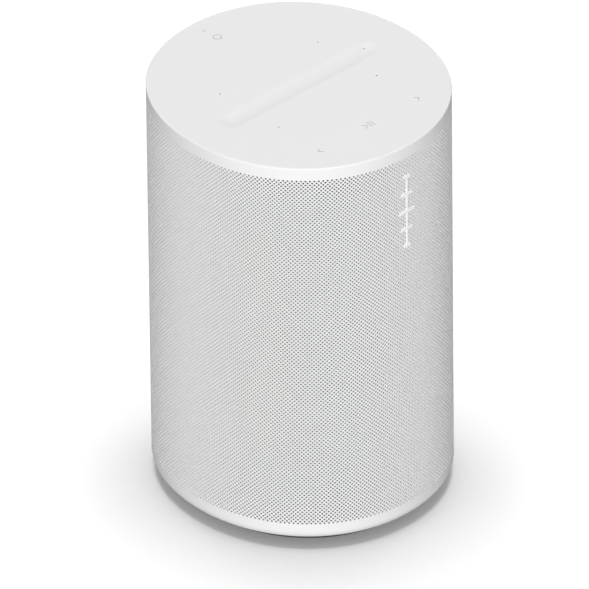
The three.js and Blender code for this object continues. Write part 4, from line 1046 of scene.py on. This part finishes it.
class SPEAKER_OT_finishes(bpy.types.Operator):
    """Gives every material its colour, gloss and relief from nodes"""

    bl_idname = "speaker.finishes"
    bl_label = "Finishes"

    def execute(self, context):
        finish = context.scene.speaker_finish
        shell, plate, ink = tuple(finish.shell), tuple(finish.plate), tuple(finish.ink)
        moulded("shell", shell, 0.5, 0.68, drift=0.008, IOR=1.46)
        # The front mark is the housing's white made 14% lighter: a painted highlight, so the raised
        # bars read lighter than the wall round them.
        moulded("mark", shade(shell, 1.14), 0.42, 0.58, drift=0.006, IOR=1.46)
        moulded("plate", plate, 0.55, 0.72, grain=0.25, depth=0.004, drift=0.006, IOR=1.45)
        moulded("ink", ink, 0.45, 0.6, grain=0.12, depth=0.002, drift=0.05)
        moulded("dark_plastic", (0.03, 0.03, 0.032), 0.4, 0.62, drift=0.15)
        moulded("grey_plastic", (0.42, 0.42, 0.43), 0.4, 0.6, drift=0.04)
        moulded("rubber", (0.045, 0.045, 0.045), 0.7, 0.92, grain=0.5, depth=0.02, drift=0.2)
        moulded("ferrite", (0.05, 0.05, 0.055), 0.6, 0.85, grain=0.7, depth=0.03, drift=0.25)
        moulded("light_guide", (0.92, 0.92, 0.92), 0.25, 0.4, grain=0.2, depth=0.002,
                Transmission_Weight=0.3, Subsurface_Weight=0.2)
        metal("steel", (0.56, 0.56, 0.57), 0.22, 0.42)
        metal("aluminium", (0.78, 0.78, 0.79), 0.28, 0.5, stretch=(1, 60, 60))
        metal("brass", (0.80, 0.62, 0.30), 0.2, 0.38, stretch=(40, 1, 40))
        wound("copper", (0.83, 0.43, 0.24))
        woven("liner", tuple(finish.liner), 0.35, 0.8, 0.98, 0.05)
        woven("textile", (0.12, 0.10, 0.06), 0.5, 0.7, 0.9, 0.08)
        fibrous("paper", (0.07, 0.07, 0.07), 0.75, 0.95)
        circuit("circuit_board", (0.02, 0.10, 0.06))
        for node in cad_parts.values():
            for slot in node.material_slots:
                slot.material = bpy.data.materials[slot.material.name.split(".")[0]]
        return {"FINISHED"}


# Studio -----------------------------------------------------------------------------------------


def towards(azimuth, elevation):
    """The direction from the speaker to a place at that azimuth and elevation."""
    return Vector((sin(azimuth) * cos(elevation), -cos(azimuth) * cos(elevation), sin(elevation)))


def softbox(name, power, size, direction, distance, target):
    """A square light at a distance from its target, turned to face it."""
    light = bpy.data.lights.new(name, "AREA")
    light.shape, light.size, light.energy = "SQUARE", size, power
    lamp = bpy.data.objects.new(name, light)
    lamp.location = target + direction * distance
    lamp.rotation_euler = (-direction).to_track_quat("-Z", "Y").to_euler()
    bpy.context.scene.collection.objects.link(lamp)
    return lamp


def keep_light(lamp, receiver, state):
    """Lets a light shine on one object only (INCLUDE) or on all but that one (EXCLUDE)."""
    listed = bpy.data.collections.new(f"{lamp.name}_list")
    listed.objects.link(receiver)
    listed.collection_objects[0].light_linking.link_state = state
    lamp.light_linking.receiver_collection = listed


class SPEAKER_OT_studio(bpy.types.Operator):
    """Makes the floor, the soft lights and the camera"""

    bl_idname = "speaker.studio"
    bl_label = "Studio"

    def execute(self, context):
        scene, studio = context.scene, context.scene.speaker_studio
        scene.view_settings.view_transform = "Standard"
        floor = self.floor()
        self.room(scene, studio)
        middle, above = Vector((0, 0, HOUSING_HIGH.z / 2)), Vector((0, 0, 1))
        front = towards(studio.azimuth - KEY_SWING, SIDE_ELEVATION)
        key = softbox("key_light", studio.key, KEY_SIZE, front, SIDE_DISTANCE, middle)
        back = towards(studio.azimuth + pi, SIDE_ELEVATION)
        rear = softbox("rear_light", studio.rear, REAR_SIZE, back, SIDE_DISTANCE, middle)
        overhead = softbox(
            "overhead_light", studio.overhead, OVERHEAD_SIZE, above, TOP_DISTANCE, middle
        )
        behind, centre = towards(studio.azimuth + pi, WASH_ELEVATION), Vector((0, 0, 0))
        wash = softbox("floor_light", studio.wash, WASH_SIZE, behind, TOP_DISTANCE, centre)
        for lamp in (key, rear, overhead):
            keep_light(lamp, floor, "EXCLUDE")
        keep_light(wash, floor, "INCLUDE")
        self.camera(scene, studio)
        return {"FINISHED"}

    def floor(self):
        """A wide plain floor with a faint tooth and a faint glow of its own, like a light table."""
        made = Finish("floor", Emission_Color=(1, 1, 1, 1), Emission_Strength=FLOOR_GLOW)
        made.colour(made.noise(40, 3), (0.93, 0.93, 0.93), (0.95, 0.95, 0.95))
        made.rough(made.noise(6, 3), 0.75, 0.9)
        made.bump(made.noise(0.8, 2), 0.01)
        reach = FLOOR_REACH
        mesh = bpy.data.meshes.new("floor")
        corners = [(-reach, -reach, 0), (reach, -reach, 0), (reach, reach, 0), (-reach, reach, 0)]
        mesh.from_pydata(corners, [], [(0, 1, 2, 3)])
        mesh.materials.append(made.material)
        floor = bpy.data.objects.new("floor", mesh)
        bpy.context.scene.collection.objects.link(floor)
        floor.visible_diffuse = False  # it throws no light back on the speaker
        return floor

    def room(self, scene, studio):
        """Even light from all round, brighter from below, where a pale floor throws it back."""
        world = bpy.data.worlds.new("room")
        world.use_nodes = True
        background = world.node_tree.nodes["Background"]
        background.inputs["Color"].default_value = (1, 1, 1, 1)
        nodes, links = world.node_tree.nodes, world.node_tree.links
        place, split, spread = (
            nodes.new(kind)
            for kind in ("ShaderNodeTexCoord", "ShaderNodeSeparateXYZ", "ShaderNodeMapRange")
        )
        levels = {"From Min": -0.1, "From Max": 0.1, "To Min": studio.bounce, "To Max": studio.room}
        for socket, level in levels.items():
            spread.inputs[socket].default_value = level
        links.new(place.outputs["Generated"], split.inputs["Vector"])
        links.new(split.outputs["Z"], spread.inputs["Value"])
        links.new(spread.outputs["Result"], background.inputs["Strength"])
        scene.world = world

    def camera(self, scene, studio):
        """A long lens, far off, aimed below the middle of the top."""
        back = towards(studio.azimuth, studio.elevation)
        right = Vector((cos(studio.azimuth), sin(studio.azimuth), 0))
        up = back.cross(right)
        tilted_right = right * cos(studio.roll) + up * sin(studio.roll)
        tilted_up = up * cos(studio.roll) - right * sin(studio.roll)
        offset = tilted_right * AIM_ACROSS * MM
        aim = Vector((0, 0, HOUSING_HIGH.z)) - offset - tilted_up * AIM_DOWN * MM
        data = bpy.data.cameras.new("camera")
        data.sensor_width, data.lens = 36.0, studio.lens
        data.clip_start, data.clip_end = 0.1, 100.0
        camera = bpy.data.objects.new("camera", data)
        turn = Matrix((tilted_right, tilted_up, back)).transposed().to_4x4()
        camera.matrix_world = Matrix.Translation(aim + back * studio.distance) @ turn
        scene.collection.objects.link(camera)
        scene.camera = camera


# Add-on -----------------------------------------------------------------------------------------

PIECES = (
    SPEAKER_OT_finishes,
    SPEAKER_OT_grille,
    SPEAKER_OT_bands,
    SPEAKER_OT_mark,
    SPEAKER_OT_top,
    SPEAKER_OT_signs,
    SPEAKER_OT_rear,
    SPEAKER_OT_controls,
    SPEAKER_OT_base,
    SPEAKER_OT_studio,
)
SETTINGS = {
    "speaker_housing": HousingSizes,
    "speaker_top": TopSizes,
    "speaker_rear": RearSizes,
    "speaker_finish": SpeakerFinish,
    "speaker_studio": StudioSettings,
}


class SPEAKER_PT_builder(bpy.types.Panel):
    """Lists the speaker's settings and its pieces"""

    bl_idname = "SPEAKER_PT_builder"
    bl_label = "Smart Speaker"
    bl_space_type = "VIEW_3D"
    bl_region_type = "UI"
    bl_category = "Speaker"

    def draw(self, context):
        for settings in SETTINGS:
            group = getattr(context.scene, settings)
            box = self.layout.box()
            for name in group.bl_rna.properties.keys():
                if name not in ("rna_type", "name"):
                    box.prop(group, name)
        for piece in PIECES:
            self.layout.operator(piece.bl_idname)


def register():
    for made in (*SETTINGS.values(), *PIECES, SPEAKER_PT_builder):
        bpy.utils.register_class(made)
    for name, group in SETTINGS.items():
        setattr(bpy.types.Scene, name, bpy.props.PointerProperty(type=group))


def unregister():
    for name in SETTINGS:
        delattr(bpy.types.Scene, name)
    for made in reversed((*SETTINGS.values(), *PIECES, SPEAKER_PT_builder)):
        bpy.utils.unregister_class(made)


def main():
    """Registers the add-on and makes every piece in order."""
    register()
    for piece in PIECES:
        group, name = piece.bl_idname.split(".")
        getattr(getattr(bpy.ops, group), name)()


if __name__ == "__main__":
    main()
